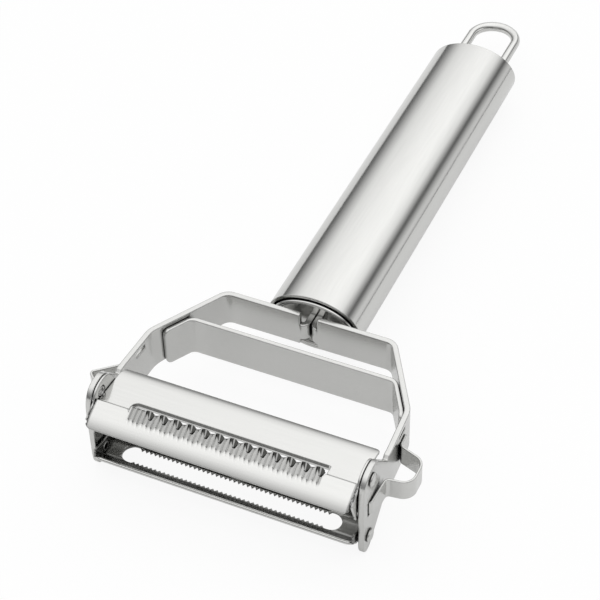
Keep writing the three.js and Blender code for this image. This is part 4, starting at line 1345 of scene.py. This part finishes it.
class PEELER_OT_gouges(bpy.types.Operator):
    """Eye gouge on each side: a round loop on the right and a pinched one on the left"""

    bl_idname = "peeler.gouges"
    bl_label = "Eye gouges"

    def execute(self, context):
        steel_skin = tumbled_strip_steel(context.scene.peeler_finish)
        put("gouge_strip_right", gouge(**ROUND_LOOP), steel_skin, "frame", "yoke_steel", "eye_gouge_right")
        left = gouge(**PINCHED_LOOP)
        mirror(left)
        put("gouge_strip_left", left, steel_skin, "frame", "yoke_steel", "eye_gouge_left")
        return {"FINISHED"}


class PEELER_OT_julienne_blade(bpy.types.Operator):
    """Upper blade: two curved halves, a row of pressed teeth between them and an ear at each end"""

    bl_idname = "peeler.julienne_blade"
    bl_label = "Julienne blade"

    def execute(self, context):
        sizes = context.scene.peeler_sizes
        sheet, edge = mm(sizes.blade_sheet), mm(sizes.blade_edge)
        bm = julienne_rear(sheet, edge)
        merge(bm, julienne_front(sheet, edge, sizes.tooth_count))
        merge(bm, tooth_faces(POINT_RIDGE, sheet, sizes.tooth_count))
        merge(bm, julienne_ears(sheet, edge))
        finish = context.scene.peeler_finish
        put("julienne_sheet", bm, polished_blade_steel(finish), "julienne", "blade_steel", "julienne_blade")
        # Dark faces beside each ridge and a grey strip on the lip, coloured with painted shade
        flanks = tooth_faces(POINT_LEFT, sheet, sizes.tooth_count)
        merge(flanks, tooth_faces(POINT_RIGHT, sheet, sizes.tooth_count))
        dark = shade_painted_tooth_steel(finish)
        put("julienne_flanks", flanks, dark, "julienne", "blade_steel", "julienne_blade")
        grey = shade_painted_lip_steel(finish)
        put("julienne_lip", shade_painted_lip_strip(), grey, "julienne", "blade_steel", "julienne_blade")
        return {"FINISHED"}


class PEELER_OT_serrated_blade(bpy.types.Operator):
    """Lower blade: a shallow trough with a saw-toothed slot and an ear at each end"""

    bl_idname = "peeler.serrated_blade"
    bl_label = "Serrated blade"

    def execute(self, context):
        sizes = context.scene.peeler_sizes
        bm = serrated(mm(sizes.blade_sheet), mm(sizes.blade_edge), mm(sizes.saw_pitch), mm(sizes.saw_depth))
        # The trough's colour is darkened with painted shade
        steel_skin = shade_painted_trough_steel(context.scene.peeler_finish)
        put("serrated_sheet", bm, steel_skin, "serrated", "blade_steel", "serrated_blade")
        rim = rolled_rim(mm(sizes.blade_sheet))
        rim_skin = polished_blade_steel(context.scene.peeler_finish)
        put("serrated_rim", rim, rim_skin, "serrated", "blade_steel", "serrated_blade")
        return {"FINISHED"}


class PEELER_OT_rivets(bpy.types.Operator):
    """Four pivot rivets in the lugs, and the rivet through the tang"""

    bl_idname = "peeler.rivets"
    bl_label = "Rivets"

    def execute(self, context):
        steel_skin = headed_rivet_steel(context.scene.peeler_finish)
        sheet = mm(context.scene.peeler_sizes.blade_sheet)
        for blade, pivot, outer in (
            ("julienne", JULIENNE_PIVOT, LUG_INNER - EAR_GAP),
            ("serrated", SERRATED_PIVOT, SERRATED_HALF),
        ):
            right = pivot_rivet(pivot, outer, sheet)
            left = right.copy()
            mirror(left)
            for side, bm in (("right", right), ("left", left)):
                put(f"{blade}_pivot_{side}", bm, steel_skin, "frame", "rivet_steel", f"{blade}_rivet_{side}")
        put("tang_pin", tang_rivet(), steel_skin, "frame", "rivet_steel", "tang_rivet")
        return {"FINISHED"}


class PEELER_OT_stage(bpy.types.Operator):
    """White table, soft light all round and the camera"""

    bl_idname = "peeler.stage"
    bl_label = "Table, light and camera"

    def execute(self, context):
        studio = context.scene.peeler_studio
        white_table(studio)
        light_tent(studio)
        camera = bpy.data.cameras.new("camera")
        camera.lens = studio.lens
        camera.sensor_width = FILM_WIDTH
        camera.clip_start, camera.clip_end = NEAR, FAR
        eye = bpy.data.objects.new("camera", camera)
        eye.location = REST @ Vector(EYE)
        eye.rotation_euler = [math.radians(angle) for angle in EYE_TURN]
        context.scene.collection.objects.link(eye)
        context.scene.camera = eye
        context.scene.view_settings.view_transform = "Standard"
        return {"FINISHED"}


def white_table(studio):
    """A pale matt table, mostly plain white to the eye, less so in the steel. The rest takes the shadow."""
    bm = bmesh.new()
    bmesh.ops.create_grid(bm, x_segments=8, y_segments=8, size=TABLE_HALF)
    mesh = bpy.data.meshes.new("table")
    bm.to_mesh(mesh)
    bm.free()
    table = bpy.data.objects.new("table", mesh)
    table.location.z = -TABLE_DROP
    bpy.context.scene.collection.objects.link(table)
    material = bpy.data.materials.new("matt_white_table")
    material.use_nodes = True
    tree = material.node_tree
    tree.nodes.clear()
    rays = node(tree, "ShaderNodeLightPath")
    eye, gloss = {0: (rays, "Is Camera Ray")}, {0: (rays, "Is Glossy Ray")}
    looked = node(tree, "ShaderNodeMath", eye, {1: WHITE_TO_EYE}, operation="MULTIPLY")
    mirrored = node(tree, "ShaderNodeMath", gloss, {1: WHITE_IN_STEEL}, operation="MULTIPLY")
    seen = node(tree, "ShaderNodeMath", {0: (looked, "Value"), 1: (mirrored, "Value")}, operation="MAXIMUM")
    through = {0: (seen, "Value"), 1: (rays, "Is Transmission Ray")}
    share = node(tree, "ShaderNodeMath", through, operation="MAXIMUM")
    matt = node(tree, "ShaderNodeBsdfDiffuse", inputs={"Color": (*studio.floor, 1.0)})
    white = node(tree, "ShaderNodeEmission", inputs={"Color": (1.0, 1.0, 1.0, 1.0), "Strength": 1.0})
    mix = node(tree, "ShaderNodeMixShader", {0: (share, "Value"), 1: (matt, "BSDF"), 2: (white, "Emission")})
    node(tree, "ShaderNodeOutputMaterial", {"Surface": (mix, "Shader")})
    mesh.materials.append(material)


# Brightness of the light tent: degrees from overhead and level, to the right round Y, and to the back round X
TENT_ACROSS = [
    (-180, 0.15),
    (-96, 0.12),
    (-86, 0.16),
    (-50, 0.8),
    (-10, 0.95),
    (12, 1.0),
    (32, 0.8),
    (52, 0.1),
    (54, 0.1),
    (77, 0.85),
    (86, 0.9),
    (90, 0.1),
    (180, 0.2),
]
TENT_ALONG = [
    (-180, 0.2),
    (-62, 0.3),
    (-46, 0.62),
    (-28, 0.88),
    (-12, 1.0),
    (50, 1.0),
    (57, 0.95),
    (67, 0.86),
    (78, 0.69),
    (89, 0.56),
    (180, 0.5),
]


def tent_ramp(tree, axes, axis, stops):
    """Brightness by the angle from overhead towards one axis."""
    turn = node(tree, "ShaderNodeMath", {0: (axes, axis), 1: (axes, "Z")}, operation="ARCTAN2")
    share = node(
        tree,
        "ShaderNodeMapRange",
        {"Value": (turn, "Value")},
        {"From Min": -math.pi, "From Max": math.pi},
    )
    ramp = node(tree, "ShaderNodeValToRGB", {"Fac": (share, "Result")})
    elements = ramp.color_ramp.elements
    while len(elements) < len(stops):
        elements.new(1.0)
    for element, (angle, level) in zip(elements, stops):
        element.position = (angle + 180) / 360
        element.color = (level, level, level, 1.0)
    return ramp


def light_tent(studio):
    """Soft white light in long strips beside and over the handle, and a dark room in front of the blades."""
    world = bpy.data.worlds.new("light_tent")
    bpy.context.scene.world = world
    world.use_nodes = True
    tree = world.node_tree
    tree.nodes.clear()
    place = node(tree, "ShaderNodeTexCoord")
    axes = node(tree, "ShaderNodeSeparateXYZ", {"Vector": (place, "Generated")})
    across = tent_ramp(tree, axes, "X", TENT_ACROSS)
    along = tent_ramp(tree, axes, "Y", TENT_ALONG)
    level = node(
        tree,
        "ShaderNodeVectorMath",
        {0: (across, "Color"), 1: (along, "Color")},
        operation="MULTIPLY",
    )
    lit = node(tree, "ShaderNodeBackground", {"Color": (level, "Vector")}, {"Strength": studio.light})
    white = node(tree, "ShaderNodeBackground", inputs={"Color": (1.0, 1.0, 1.0, 1.0), "Strength": 1.0})
    rays = node(tree, "ShaderNodeLightPath")
    skies = {0: (rays, "Is Camera Ray"), 1: (lit, "Background"), 2: (white, "Background")}
    mix = node(tree, "ShaderNodeMixShader", skies)
    node(tree, "ShaderNodeOutputWorld", {"Surface": (mix, "Shader")})


class PEELER_PT_panel(bpy.types.Panel):
    """Lists the peeler's sizes, finishes and pieces"""

    bl_idname = "PEELER_PT_panel"
    bl_label = "Julienne peeler"
    bl_space_type = "VIEW_3D"
    bl_region_type = "UI"
    bl_category = "Peeler"

    def draw(self, context):
        for group in (context.scene.peeler_sizes, context.scene.peeler_finish, context.scene.peeler_studio):
            for key in group.__annotations__:
                self.layout.prop(group, key)
        for operator in OPERATORS:
            self.layout.operator(operator.bl_idname)


OPERATORS = (
    PEELER_OT_stage,
    PEELER_OT_handle,
    PEELER_OT_handle_ends,
    PEELER_OT_hanging_loop,
    PEELER_OT_yoke,
    PEELER_OT_gouges,
    PEELER_OT_julienne_blade,
    PEELER_OT_serrated_blade,
    PEELER_OT_rivets,
)
GROUPS = {"peeler_sizes": PeelerSizes, "peeler_finish": PeelerFinish, "peeler_studio": PeelerStudio}


def register():
    for group in GROUPS.values():
        bpy.utils.register_class(group)
    for name, group in GROUPS.items():
        setattr(bpy.types.Scene, name, bpy.props.PointerProperty(type=group))
    for operator in OPERATORS:
        bpy.utils.register_class(operator)
    bpy.utils.register_class(PEELER_PT_panel)


def unregister():
    bpy.utils.unregister_class(PEELER_PT_panel)
    for operator in reversed(OPERATORS):
        bpy.utils.unregister_class(operator)
    for name, group in GROUPS.items():
        delattr(bpy.types.Scene, name)
        bpy.utils.unregister_class(group)


def main():
    register()
    for operator in OPERATORS:
        _, name = operator.bl_idname.split(".")
        getattr(bpy.ops.peeler, name)()


if __name__ == "__main__":
    main()
